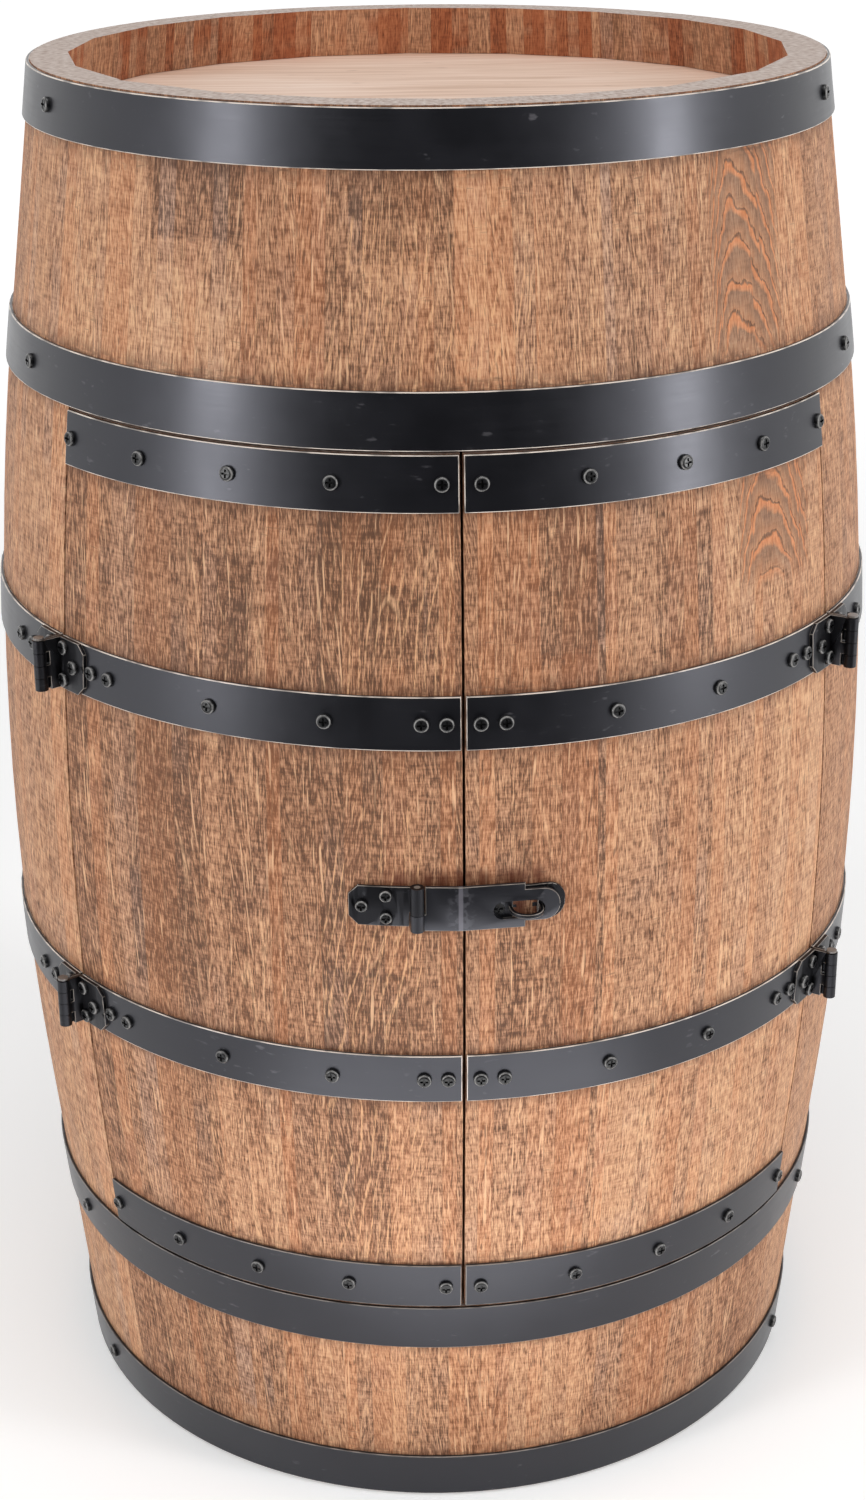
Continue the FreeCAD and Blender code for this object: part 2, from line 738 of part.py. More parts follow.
def hinge_leaf(label, turn, level, side, bore):
    """One bent leaf with every second knuckle.

    side is +1 where the flange runs towards larger turns and -1 where it runs back."""
    count = round(size("knuckle_count"))
    sits_on_frame = bore == "pin_radius"
    own = range(0 if sits_on_frame else 1, count, 2)
    others = range(1 if sits_on_frame else 0, count, 2)
    knuckles = [cylinder(f"{label}_knuckle_{number}", "knuckle_radius",
                         f"{KNUCKLE_STEP} - knuckle_gap", HINGE_RADIUS, "0",
                         f"{level} + {number} * {KNUCKLE_STEP} + knuckle_gap / 2") for number in own]
    standing = combine("Part::MultiFuse", label + "_standing", leaf_web(label, level, side, others),
                       *knuckles)
    bored = combine("Part::Cut", label + "_bored", standing,
                    through_bore(label + "_bore", bore, HINGE_RADIUS, level))
    seated = combine("Part::Cut", label + "_seated", bored, hoop_core)
    leaf = combine("Part::MultiFuse", label + "_leaf", leaf_flange(label, level, side), seated)
    return turn_to(leaf, turn)


def leaf_seats(turn, level, side):
    """Two screws beside the web and one further along the flange."""
    middle = size(f"{level} + hoop_width / 2")
    rise = size("leaf_screw_rise")
    near = side * size(girth_turn("leaf_screw_near"))
    far = side * size(girth_turn("leaf_screw_far"))
    lift = size("hoop_thickness + leaf_thickness")
    spots = ((near, rise), (near, -rise), (far, 0))
    return [seat(turn + across, middle + up, lift) for across, up in spots]


def hinges(side):
    """Both hinges of one door. Gives the seats of the frame's and the door's screws."""
    sign = 1 if side == "right" else -1
    turn = f"({sign} * {HINGE_TURN})"
    seats = {"frame": [], "door": []}
    for name, level in BILGE_LEVELS:
        for holder, way, bore in (("frame", sign, "pin_radius"),
                                  ("door", -sign, "pin_radius + pin_play")):
            own = leaf_seats(size(turn), level, way)
            label = f"{side}_{name}_hinge_{holder}_leaf"
            drill(label, hinge_leaf(label, turn, level, way, bore), own)
            seats[holder] += own
    return seats["frame"], seats["door"]


def hinge_pins():
    """A headed pin through each hinge."""
    shank = cylinder("pin_shank", "pin_radius", "hoop_width + knuckle_gap")
    head = cylinder("pin_head", "pin_head_radius", "pin_head_height", z="hoop_width + knuckle_gap")
    pin = combine("Part::MultiFuse", "hinge_pin", shank, head)
    doc.recompute()
    seats = []
    for sign in (-1, 1):
        heading = FreeCAD.Rotation(UP, sign * size(HINGE_TURN) - 90)
        for _, level in BILGE_LEVELS:
            spot = FreeCAD.Vector(size(HINGE_RADIUS), 0, size(level))
            seats.append(FreeCAD.Placement(heading.multVec(spot), heading))
    group("hinge_pins", placed(pin.Shape, seats))


# ---- hasp -----------------------------------------------------------------------------------

HASP_LOW = "(hasp_level - strap_height / 2)"
HASP_HIGH = "(hasp_level + strap_height / 2)"
HASP_SPLIT = "(hasp_level - hasp_split)"
KNUCKLE_CLEAR = "(hasp_knuckle_radius + 2 * strap_clearance)"
SLOT_LEVEL = "(hasp_level - slot_drop)"
STRAP_INSIDE = "(bulge_radius + plate_thickness + strap_clearance)"
STRAP_OUTSIDE = f"({STRAP_INSIDE} + strap_thickness)"


def hasp_plate(seats):
    """Plate on the left door, with the upper part of the hasp's knuckle."""
    low = "(hasp_level - plate_height / 2)"
    high = "(hasp_level + plate_height / 2)"
    corner = "(-plate_length + plate_corner)"
    outline = [("-plate_length", f"{low} + plate_corner"), (corner, low),
               (f"-{KNUCKLE_CLEAR}", low), (f"-{KNUCKLE_CLEAR}", HASP_SPLIT), ("0", HASP_SPLIT),
               ("0", high), (corner, high), ("-plate_length", f"{high} - plate_corner")]
    flat = combine("Part::Common", "hasp_plate_flat", plate_shell, prism("hasp_plate_block", outline))
    knuckle = cylinder("hasp_plate_knuckle", "hasp_knuckle_radius",
                       f"{HASP_HIGH} - {HASP_SPLIT} - knuckle_gap / 2", HASP_RADIUS, "0",
                       f"{HASP_SPLIT} + knuckle_gap / 2")
    whole = combine("Part::MultiFuse", "hasp_plate_whole", flat, knuckle)
    bored = combine("Part::Cut", "hasp_plate_bored", whole,
                    through_bore("hasp_plate_bore", "hasp_pin_radius", HASP_RADIUS, "hasp_level"))
    drill("hasp_plate", turn_to(bored, "hasp_turn"), seats)


def hasp_plate_seats():
    turn = size("hasp_turn")
    level = size("hasp_level")
    rise = size("plate_screw_rise")
    near = turn - size(girth_turn("plate_screw_near"))
    far = turn - size(girth_turn("plate_screw_far"))
    lift = size("plate_thickness")
    return [seat(near, level + rise, lift), seat(near, level - rise, lift), seat(far, level, lift)]


def hasp_pin():
    made = body("hasp_pin")
    shank = sketch_on(made, "shank", "XY_Plane", HASP_LOW)
    circle(shank, HASP_RADIUS, "0", "hasp_pin_radius")
    pad(made, shank, "strap_height")
    keep(turn_to(made, "hasp_turn"), "hasp_pin")


def hasp_strap():
    """Cranked strap with the lower part of the hasp's knuckle, a tab and a slot."""
    made = body("hasp_strap")
    strap_flats(made)
    strap_knuckle(made)
    shoulder = f"({STRAP_INSIDE} * tan(strap_bend_angle) + strap_shoulder)"
    for name, side in (("foot_shoulder", -1), ("head_shoulder", 1)):
        trim = sketch_on(made, name, "YZ_Plane")
        near = f"hasp_level + {side} * strap_tab_height / 2"
        far = f"hasp_level + {side} * strap_height"
        past = f"{shoulder} + strap_length"
        polygon(trim, [(shoulder, near), (past, near), (past, far), (shoulder, far)])
        pocket(made, trim)
    strap_slot(made)
    keep(turn_to(made, "hasp_turn"), "hasp_strap")


def strap_flats(made):
    """Two flats that meet over the gap between the doors."""
    lean = "(2 * strap_bend_angle)"
    bend = [(face, f"{face} * tan(strap_bend_angle)") for face in (STRAP_INSIDE, STRAP_OUTSIDE)]
    ends = [(f"{x} - strap_length * sin({lean})", f"{y} + strap_length * cos({lean})")
            for x, y in bend]
    section = sketch_on(made, "section", "XY_Plane", HASP_LOW)
    polygon(section, [(STRAP_INSIDE, "0"), bend[0], ends[0], ends[1], bend[1],
                      (STRAP_OUTSIDE, "0")])
    pad(made, section, "strap_height")


def strap_knuckle(made):
    """Clears the plate's knuckle above the split and bores the strap's own one below it."""
    relief = sketch_on(made, "relief", "XY_Plane", f"{HASP_SPLIT} - knuckle_gap / 2")
    outside = "bulge_radius + 2 * hasp_knuckle_radius"
    polygon(relief, [("bulge_radius", "-hasp_knuckle_radius"), ("bulge_radius", KNUCKLE_CLEAR),
                     (outside, KNUCKLE_CLEAR), (outside, "-hasp_knuckle_radius")])
    pocket(made, relief, "strap_height", reverse=True)
    knuckle = sketch_on(made, "knuckle", "XY_Plane", HASP_LOW)
    circle(knuckle, HASP_RADIUS, "0", "hasp_knuckle_radius")
    pad(made, knuckle, f"{HASP_SPLIT} - knuckle_gap / 2 - {HASP_LOW}")
    bore = sketch_on(made, "bore", "XY_Plane")
    circle(bore, HASP_RADIUS, "0", "hasp_pin_radius + pin_play")
    pocket(made, bore)


def strap_slot(made):
    """The slot that the eye comes through, and the strap's rounded end."""
    bend = f"{STRAP_INSIDE} * tan(strap_bend_angle)"
    opening = sketch_on(made, "slot", "YZ_Plane")
    slot(opening, f"{bend} + slot_start", f"{bend} + slot_end", SLOT_LEVEL, "slot_height / 2")
    cut = pocket(made, opening)
    tip = size(f"{bend} + strap_length * cos(2 * strap_bend_angle) - strap_round")

    def crosses_the_tip(edge):
        through = edge.Length < 2 * size("strap_thickness")
        level = abs(edge.Vertexes[0].Z - edge.Vertexes[-1].Z) < TOUCH
        return through and level and min(point.Point.y for point in edge.Vertexes) > tip

    round_edges(made, cut, "strap_end", crosses_the_tip, "strap_round")


def staple(seats):
    """Staple on the right door: a base plate with an eye bent out of it."""
    whole = combine("Part::MultiFuse", "staple_whole", staple_base(), staple_eye())
    sinks = doc.addObject("Part::Feature", "staple_sinks")
    sinks.Shape = Part.makeCompound(placed(countersink(), seats))
    keep(combine("Part::Cut", "staple", turn_to(whole, "staple_turn"), sinks), "staple")


def staple_base():
    """Plate with a rounded far end and a window behind the eye."""
    low = "(hasp_level - staple_base_height / 2)"
    high = "(hasp_level + staple_base_height / 2)"
    block = prism("staple_block", [("-staple_base_left", low), ("staple_base_right", low),
                                   ("staple_base_right", high), ("-staple_base_left", high)])
    plate = combine("Part::Common", "staple_plate", plate_shell, block)
    half = "(eye_radius - eye_wall - window_ledge)"
    window = box("staple_window", WALL_FLAT, f"-{half}", f"{SLOT_LEVEL} - window_drop",
                 "2 * stave_thickness", f"2 * {half}", "window_drop + window_rise")
    pierced = combine("Part::Cut", "staple_pierced", plate, window)
    rounded = doc.addObject("Part::Fillet", "staple_rounded")
    rounded.Base = pierced
    doc.recompute()
    end = size("staple_base_right") - TOUCH
    radius = size("staple_base_round")
    rounded.Edges = [(number, radius, radius)
                     for number, edge in enumerate(pierced.Shape.Edges, start=1)
                     if edge.Length < 2 * size("plate_thickness")
                     and min(point.Point.y for point in edge.Vertexes) > end]
    return rounded


def staple_eye():
    """Flat D-shaped eye that stands out of the plate."""
    middle = "(bulge_radius + eye_reach - eye_radius)"
    level = f"({SLOT_LEVEL} - eye_plate / 2)"
    bar = "(eye_radius - eye_wall)"
    outer = combine("Part::MultiFuse", "eye_outer",
                    cylinder("eye_round", "eye_radius", "eye_plate", middle, "0", level),
                    box("eye_legs", "bulge_radius", "-eye_radius", level,
                        f"{middle} - bulge_radius", "2 * eye_radius", "eye_plate"))
    inner = combine("Part::MultiFuse", "eye_inner", through_bore("eye_hole", bar, middle, level),
                    box("eye_gap", "bulge_radius", f"-{bar}", f"{level} - eye_plate",
                        f"{middle} - bulge_radius", f"2 * {bar}", "3 * eye_plate"))
    ring = combine("Part::Cut", "eye_ring", outer, inner)
    return combine("Part::Cut", "eye_seated", ring, wood_core)


def staple_seats():
    turn = size("staple_turn")
    return [seat(turn + size(girth_turn(across)), size(SLOT_LEVEL), size("plate_thickness"))
            for across in ("-staple_screw_left", "staple_screw_right")]


# ---- screws ---------------------------------------------------------------------------------

def cross_corners(arm, half):
    """Outline of a cross, each arm a quarter turn from the last."""
    corners = []
    for x, y in ((1, 1), (-1, 1), (-1, -1), (1, -1)):
        across = (f"{x} * {arm}", f"{y} * {half}")
        inside = (f"{x} * {half}", f"{y} * {half}")
        along = (f"{x} * {half}", f"{y} * {arm}")
        corners += [across, inside, along] if x * y > 0 else [along, inside, across]
    return corners


def cut_cross(made, level, depth):
    """The cross recess in a screw's head."""
    cross = sketch_on(made, "cross", "XY_Plane", level)
    polygon(cross, cross_corners("cross_length / 2", "cross_width / 2"))
    pocket(made, cross, depth)


def pan_screw(name, head_radius):
    """Cross-recessed screw with its head on z = 0 and its shank below."""
    made = body(name)
    section = sketch_on(made, "section", "XZ_Plane")
    polygon(section, [("0", "-screw_length"), ("screw_shank_radius", "-screw_length + screw_tip"),
                      ("screw_shank_radius", "0"), (head_radius, "0"),
                      (head_radius, "screw_head_height"), ("0", "screw_head_height")])
    blank = revolve(made, "PartDesign::Revolution", section, "360")

    def is_rim(edge):
        on_top = edge.BoundBox.ZMin > size("screw_head_height") - TOUCH
        return on_top and edge.BoundBox.XMax > size(head_radius) - TOUCH

    round_edges(made, blank, "head_round", is_rim, "screw_head_round")
    cut_cross(made, "screw_head_height", "cross_depth")
    return made


def flat_screw():
    """Countersunk screw with the top of its head on z = 0."""
    made = body("flat_screw")
    section = sketch_on(made, "section", "XZ_Plane")
    polygon(section, [("0", "-screw_length"), ("screw_shank_radius", "-screw_length + screw_tip"),
                      ("screw_shank_radius", "-flat_head_height"), ("flat_head_radius", "0"),
                      ("0", "0")])
    revolve(made, "PartDesign::Revolution", section, "360")
    cut_cross(made, "0", "flat_cross_depth")
    return made


def countersink():
    """The hole that a flat screw's shank and head fill, open above the plate."""
    down = size("screw_length")
    depth = size("flat_head_height")
    cone = Part.makeCone(size("screw_shank_radius"), size("flat_head_radius"), depth,
                         FreeCAD.Vector(0, 0, -depth))
    shank = Part.makeCylinder(size("screw_shank_radius"), down, FreeCAD.Vector(0, 0, -down))
    mouth = Part.makeCylinder(size("flat_head_radius"), depth)
    return cone.fuse([shank, mouth])


# ---- assembly -------------------------------------------------------------------------------

hoop_shell = shell("hoop_shell", "0", "hoop_thickness")
leaf_shell = shell("leaf_shell", "hoop_thickness", "(hoop_thickness + leaf_thickness)")
plate_shell = shell("plate_shell", "0", "plate_thickness")
hoop_core = core("hoop_core", "hoop_thickness")
wood_core = core("wood_core", "0")
screw = pan_screw("pan_screw", "screw_head_radius")
plate_screw = pan_screw("plate_screw", "plate_screw_head_radius")
sunk_screw = flat_screw()
doc.recompute()

carcass_staves()
front_staves()
disc("top_head", TOP_HEAD_RADIUS, TOP_HEAD_LEVEL, "head_thickness")
disc("bottom_head", FOOT_HEAD_RADIUS, FOOT_HEAD_LEVEL, "head_thickness")
disc("shelf", f"{WALL_FLAT} - shelf_gap", SHELF_LEVEL, "shelf_thickness")
shelf_cleats()
carcass_seats = carcass_hoops()
hinge_pins()
for door in ("left", "right"):
    door_staves(door)
    frame_leaf_seats, door_leaf_seats = hinges(door)
    carcass_seats += frame_leaf_seats
    group(f"{door}_door_screws", placed(screw.Shape, door_strips(door) + door_leaf_seats))
group("carcass_screws", placed(screw.Shape, carcass_seats))
hasp_plate(hasp_plate_seats())
hasp_pin()
group("hasp_plate_screws", placed(plate_screw.Shape, hasp_plate_seats()))
hasp_strap()
staple(staple_seats())
group("staple_screws", placed(sunk_screw.Shape, staple_seats()))
doc.recompute()

broken = [item.Name for item in doc.Objects if {"Invalid", "Error"} & set(item.State)]
broken += [item.Label for item in nodes if item.Shape.isNull() or not item.Shape.isValid()]
if broken:
    raise RuntimeError("failed: " + ", ".join(broken))
os.makedirs("parts", exist_ok=True)
for item in nodes:
    item.Shape.exportStep(f"parts/{item.Label}.step")
    print(f"{item.Label}: {len(item.Shape.Solids)} solids, {item.Shape.Volume / 1000:.1f} cm3")
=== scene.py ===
import json
import math
import bmesh
import bpy
from mathutils import Matrix, Vector


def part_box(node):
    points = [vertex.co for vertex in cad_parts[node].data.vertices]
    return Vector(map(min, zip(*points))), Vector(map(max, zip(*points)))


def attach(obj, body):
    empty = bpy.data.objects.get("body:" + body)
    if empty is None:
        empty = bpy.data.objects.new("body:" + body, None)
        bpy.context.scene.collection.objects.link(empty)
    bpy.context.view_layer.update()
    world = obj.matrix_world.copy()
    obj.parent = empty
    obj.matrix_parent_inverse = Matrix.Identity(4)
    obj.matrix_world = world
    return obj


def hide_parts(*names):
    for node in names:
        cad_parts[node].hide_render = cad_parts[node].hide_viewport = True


# Barrel bar cabinet, in metres. +Z is up, the barrel's axis is Z and the doors face -Y.

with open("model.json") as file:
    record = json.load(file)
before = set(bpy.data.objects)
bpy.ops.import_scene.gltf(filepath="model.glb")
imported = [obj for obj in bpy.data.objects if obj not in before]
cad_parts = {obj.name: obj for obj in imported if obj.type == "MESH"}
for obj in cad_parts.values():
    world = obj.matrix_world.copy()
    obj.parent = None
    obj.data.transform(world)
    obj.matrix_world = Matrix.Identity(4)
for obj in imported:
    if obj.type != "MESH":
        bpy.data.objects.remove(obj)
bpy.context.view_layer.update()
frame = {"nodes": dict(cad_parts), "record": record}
nodes = frame["nodes"]

# ---- measures taken from the frame ----------------------------------------------------------

BODY_OF = {node: body for body, members in frame["record"]["behaviour"]["bodies"].items()
           for node in members}
BARREL_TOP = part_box("carcass_stave_01")[1].z
BULGE_RADIUS = -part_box("left_door_inner_stave")[0].y
HASP_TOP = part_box("hasp_strap")[1].z


def bare_levels(*bands):
    """The stretches of wood that show between one hoop or strip and the next, from the floor up.
    """
    boxes = [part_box(name) for name in bands]
    return [(under[1].z, over[0].z) for under, over in zip(boxes, boxes[1:])]


CARCASS_BARE = bare_levels("foot_hoop", "lower_quarter_hoop", "lower_bilge_hoop",
                           "upper_bilge_hoop", "upper_quarter_hoop", "top_hoop")
DOOR_BARE = bare_levels("left_door_foot_strip", "lower_bilge_hoop", "upper_bilge_hoop",
                        "left_door_head_strip")


# ---- node graphs ----------------------------------------------------------------------------

class Graph:
    """A material's node tree, built by short calls that each return an output socket."""

    def __init__(self, name):
        self.material = bpy.data.materials.new(name)
        self.material.use_nodes = True
        self.tree = self.material.node_tree
        self.tree.nodes.clear()
        self.output = self.tree.nodes.new("ShaderNodeOutputMaterial")

    def add(self, kind, **settings):
        node = self.tree.nodes.new(kind)
        for name, value in settings.items():
            setattr(node, name, value)
        return node

    def wire(self, value, socket):
        """A socket is linked, and a plain number or colour is set."""
        if isinstance(value, bpy.types.NodeSocket):
            self.tree.links.new(value, socket)
        elif value is not None:
            socket.default_value = value

    def math(self, operation, first, second=None, third=None):
        node = self.add("ShaderNodeMath", operation=operation)
        for value, socket in zip((first, second, third), node.inputs):
            self.wire(value, socket)
        return node.outputs[0]

    def times(self, first, second):
        return self.math("MULTIPLY", first, second)

    def plus(self, first, second, share=1.0):
        """first + share x second."""
        return self.math("MULTIPLY_ADD", second, share, first)

    def place(self, x, y, z):
        node = self.add("ShaderNodeCombineXYZ")
        for value, socket in zip((x, y, z), node.inputs):
            self.wire(value, socket)
        return node.outputs[0]

    def split(self, vector):
        node = self.add("ShaderNodeSeparateXYZ")
        self.wire(vector, node.inputs[0])
        return node.outputs

    def object_place(self):
        return self.add("ShaderNodeTexCoord").outputs["Object"]

    def face_normal(self):
        return self.add("ShaderNodeNewGeometry").outputs["Normal"]

    def facing_up(self, low, high):
        """1 where a face looks up, 0 where it looks sideways or down."""
        return self.ramp(self.split(self.face_normal())[2], low, high)

    def off_axis(self, x, y):
        """How far a point is from the barrel's axis."""
        return self.math("SQRT", self.plus(self.times(x, x), self.times(y, y)))

    def noise(self, vector, detail=2.0, roughness=0.5, scale=1.0):
        node = self.add("ShaderNodeTexNoise", noise_dimensions="3D")
        self.wire(vector, node.inputs["Vector"])
        for name, value in (("Scale", scale), ("Detail", detail), ("Roughness", roughness)):
            node.inputs[name].default_value = value
        return node.outputs["Fac"]

    def pattern(self, along, cells_along, lane, rise, cells_up, **settings):
        """Noise with so many cells a metre along and up. lane picks one slice of it."""
        spot = self.place(self.times(along, cells_along), lane, self.times(rise, cells_up))
        return self.noise(spot, **settings)

    def ramp(self, value, low, high, out_low=0.0, out_high=1.0):
        """Smooth step from out_low at low to out_high at high."""
        node = self.add("ShaderNodeMapRange", interpolation_type="SMOOTHSTEP")
        self.wire(value, node.inputs["Value"])
        for socket, number in (("From Min", low), ("From Max", high), ("To Min", out_low),
                               ("To Max", out_high)):
            node.inputs[socket].default_value = number
        return node.outputs["Result"]

    def between(self, value, low, high, fade):
        """1 between two numbers and 0 outside them, with a soft step at each."""
        return self.times(self.ramp(value, low - fade, low + fade),
                          self.ramp(value, high + fade, high - fade))

    def stops(self, value, stops):
        """Colour ramp through pairs of a place and a linear colour."""
        node = self.add("ShaderNodeValToRGB")
        self.wire(value, node.inputs["Fac"])
        band = node.color_ramp.elements
        while len(band) < len(stops):
            band.new(0.5)
        for element, (spot, colour) in zip(band, stops):
            element.position = spot
            element.color = colour
        return node.outputs["Color"]

    def colours(self, value, stops):
        """Colour ramp through pairs of a place and a colour as it shows on a screen."""
        return self.stops(value, [(spot, shade(*colour)) for spot, colour in stops])

    def blend(self, factor, first, second, kind="MIX"):
        node = self.add("ShaderNodeMix", data_type="RGBA", blend_type=kind)
        self.wire(factor, node.inputs["Factor"])
        self.wire(first, node.inputs[6])
        self.wire(second, node.inputs[7])
        return node.outputs[2]

    def bump(self, height, strength, distance):
        node = self.add("ShaderNodeBump")
        self.wire(height, node.inputs["Height"])
        node.inputs["Strength"].default_value = strength
        node.inputs["Distance"].default_value = distance
        return node.outputs["Normal"]

    def finish(self, **settings):
        """Principled surface. Names are the shader's own, with underscores."""
        shader = self.add("ShaderNodeBsdfPrincipled")
        for name, value in settings.items():
            self.wire(value, shader.inputs[name.replace("_", " ")])
        self.tree.links.new(shader.outputs[0], self.output.inputs["Surface"])
        return self.material


def shade(red, green, blue):
    """A colour given as it shows on a screen, from 0 to 255, as the linear one that nodes use."""
    def linear(part):
        part /= 255
        return part / 12.92 if part < 0.04045 else ((part + 0.055) / 1.055) ** 2.4
    return (linear(red), linear(green), linear(blue), 1.0)


def girth_places(graph):
    """Girth, depth and height of a point: how far round the barrel, out from the axis and up."""
    x, y, z = graph.split(graph.object_place())
    turn = graph.math("ARCTAN2", x, graph.times(y, -1.0))
    girth = graph.times(turn, BULGE_RADIUS)
    return girth, graph.off_axis(x, y), z


def facing_out(graph):
    """1 where a face looks away from the barrel's axis, -1 where it looks at it."""
    x, y, _ = graph.split(graph.object_place())
    depth = graph.off_axis(x, y)
    across, along, _ = graph.split(graph.face_normal())
    return graph.math("DIVIDE", graph.plus(graph.times(across, x), graph.times(along, y)), depth)


# ---- wood -----------------------------------------------------------------------------------

# Strips that a board is glued up from, how uneven they are, and how far a seed moves them.
STRIPS_A_METRE = 21.0
STRIP_UNEVEN = 0.85
STRIP_SHIFT = 0.731

# How far the painted shade reaches from a hoop, and the levels that the painted shade at the hasp
# lies between.
SHADE_ABOVE_HOOP = 0.009
SHADE_BELOW_HOOP = 0.007
HASP_SHADE_TOP = HASP_TOP + 0.011
HASP_SHADE_FOOT = HASP_TOP - 0.030

# Arches fall away from the heart line by their slope times the square of the way to it, and the
# heart line sways.
ARCHES_A_METRE = 52.0
STEEP_ARCH = 170.0
GENTLE_ARCH = 36.0
ARCH_SWAY = 0.024

# From one leaning line to the next, in metres, and from a pale wavy line to the next dark one, as
# a rise of the noise that they follow.
LEANING_GAP = 0.0062
PALE_TO_DARK = 0.036

# How softly a block of another tone stops at its sides and its ends, and how ragged the ends are.
BLOCK_SIDE = 0.0006
BLOCK_END = 0.003
BLOCK_RAGGED = 0.030

# How deep the grain is.
FIBRE_DEPTH = 0.0006
BOARD_DEPTH = 0.0003

# Colours as they show on a screen, from 0 to 255. Those of an arch run through one arch, and the
# other tones run from dark to pale.
STAVE_TONES = [(0.28, (96, 65, 46)), (0.40, (138, 96, 70)), (0.50, (174, 127, 96)),
               (0.60, (195, 146, 111)), (0.76, (219, 175, 136))]
ARCH_TONES = [(0.0, (196, 132, 92)), (0.03, (84, 56, 42)), (0.09, (92, 62, 46)),
              (0.15, (216, 134, 84)), (0.30, (200, 130, 88)), (0.42, (122, 92, 74)),
              (0.75, (150, 110, 84)), (1.0, (176, 124, 90))]
END_GRAIN_TONES = [(0.30, (152, 130, 118)), (0.55, (190, 175, 166)), (0.75, (210, 199, 192))]
HEAD_TONES = [(0.32, (196, 160, 136)), (0.50, (226, 196, 176)), (0.68, (240, 216, 200))]
HEAD_FLECK = (160, 124, 104)
SHELF_TONES = [(0.32, (126, 84, 58)), (0.50, (170, 124, 92)), (0.68, (200, 158, 124))]
SHELF_FLECK = (104, 66, 46)
ORANGE_STAIN = (208, 122, 70)
# Painted shade along the hoops and at the hasp.
HOOP_PAINTED_SHADE = (80, 48, 34)
HASP_PAINTED_SHADE = (92, 44, 26)
PALE_GRAIN = (232, 184, 142)
DARK_GRAIN = (92, 60, 42)
LEANING_GRAIN = (226, 174, 130)
PALE_DASH = (230, 184, 144)
PORE = (82, 54, 40)
SAW_MARK = (92, 64, 48)
GLUE_LINE = (84, 56, 42)
INNER_PAINTED_LIGHT = (212, 156, 120)
INNER_SHADE = (206, 150, 116)


def glued_strips(graph, girth):
    """The boards are glued up from strips. Tone, slip and warmth of a strip, and its glue line."""
    place = graph.times(girth, STRIPS_A_METRE)
    cells = graph.add("ShaderNodeTexVoronoi", voronoi_dimensions="1D", feature="F1")
    edges = graph.add("ShaderNodeTexVoronoi", voronoi_dimensions="1D", feature="DISTANCE_TO_EDGE")
    for node in (cells, edges):
        graph.wire(place, node.inputs["W"])
        node.inputs["Randomness"].default_value = STRIP_UNEVEN
    parts = graph.add("ShaderNodeSeparateColor")
    graph.wire(cells.outputs["Color"], parts.inputs[0])
    glue = graph.ramp(edges.outputs["Distance"], 0.022, 0.004)
    return (*parts.outputs, glue)


def hoop_shade_levels(graph, height, levels):
    """1 at the hoops' edges, where shade is painted, and 0 in the wood between them."""
    stops = []
    for low, high in levels:
        for level, value in ((low, 1.0), (low + SHADE_ABOVE_HOOP, 0.0),
                             (high - SHADE_BELOW_HOOP, 0.0), (high, 1.0)):
            stops.append((level / BARREL_TOP, (value, value, value, 1.0)))
    return graph.stops(graph.math("DIVIDE", height, BARREL_TOP), stops)


def arch_lines(graph, girth, height, wander, fibre, heart, peak):
    """Colours of nested arches of flat-sawn grain beside a heart line, and where they show."""
    waver = graph.math("SUBTRACT", graph.pattern(girth, 70.0, 1.0, height, 70.0), 0.5)
    aside = graph.math("SUBTRACT", girth, heart + ARCH_SWAY / 2)
    aside = graph.plus(aside, wander, ARCH_SWAY)
    square = graph.times(aside, aside)
    slope = graph.ramp(aside, -0.004, 0.004, STEEP_ARCH, GENTLE_ARCH)
    level = graph.plus(graph.plus(height, graph.times(square, slope)), waver, 0.020)
    level = graph.plus(level, fibre, 0.004)
    phase = graph.math("FRACT", graph.times(level, -ARCHES_A_METRE))
    colour = graph.colours(phase, ARCH_TONES)
    beside = graph.times(graph.ramp(aside, -0.020, -0.011), graph.ramp(aside, 0.046, 0.034))
    within = graph.ramp(graph.math("ABSOLUTE", graph.math("SUBTRACT", height, peak)), 0.075, 0.050)
    return colour, graph.times(beside, within)


def girth_at(turn):
    """Girth at a turn in degrees from the front, to the right."""
    return math.radians(turn) * BULGE_RADIUS


def block_mask(graph, girth, height, ragged, block):
    """1 within two turns and two heights, with straight sides and ragged ends."""
    start, end, low, high = block
    beside = graph.between(girth, girth_at(start), girth_at(end), BLOCK_SIDE)
    within = graph.between(graph.plus(height, ragged, BLOCK_RAGGED), low, high, BLOCK_END)
    return graph.times(beside, within)


def leaning_lines(graph, girth, height, wander, broken, block):
    """Thin pale grain lines, 6 mm apart, that lean to the right as they rise."""
    across = graph.plus(graph.plus(girth, height, -0.15), wander, 0.060)
    phase = graph.math("PINGPONG", across, LEANING_GAP / 2)
    line = graph.times(graph.ramp(phase, 0.0007, 0.0003), broken)
    return graph.times(line, block_mask(graph, girth, height, wander, block))


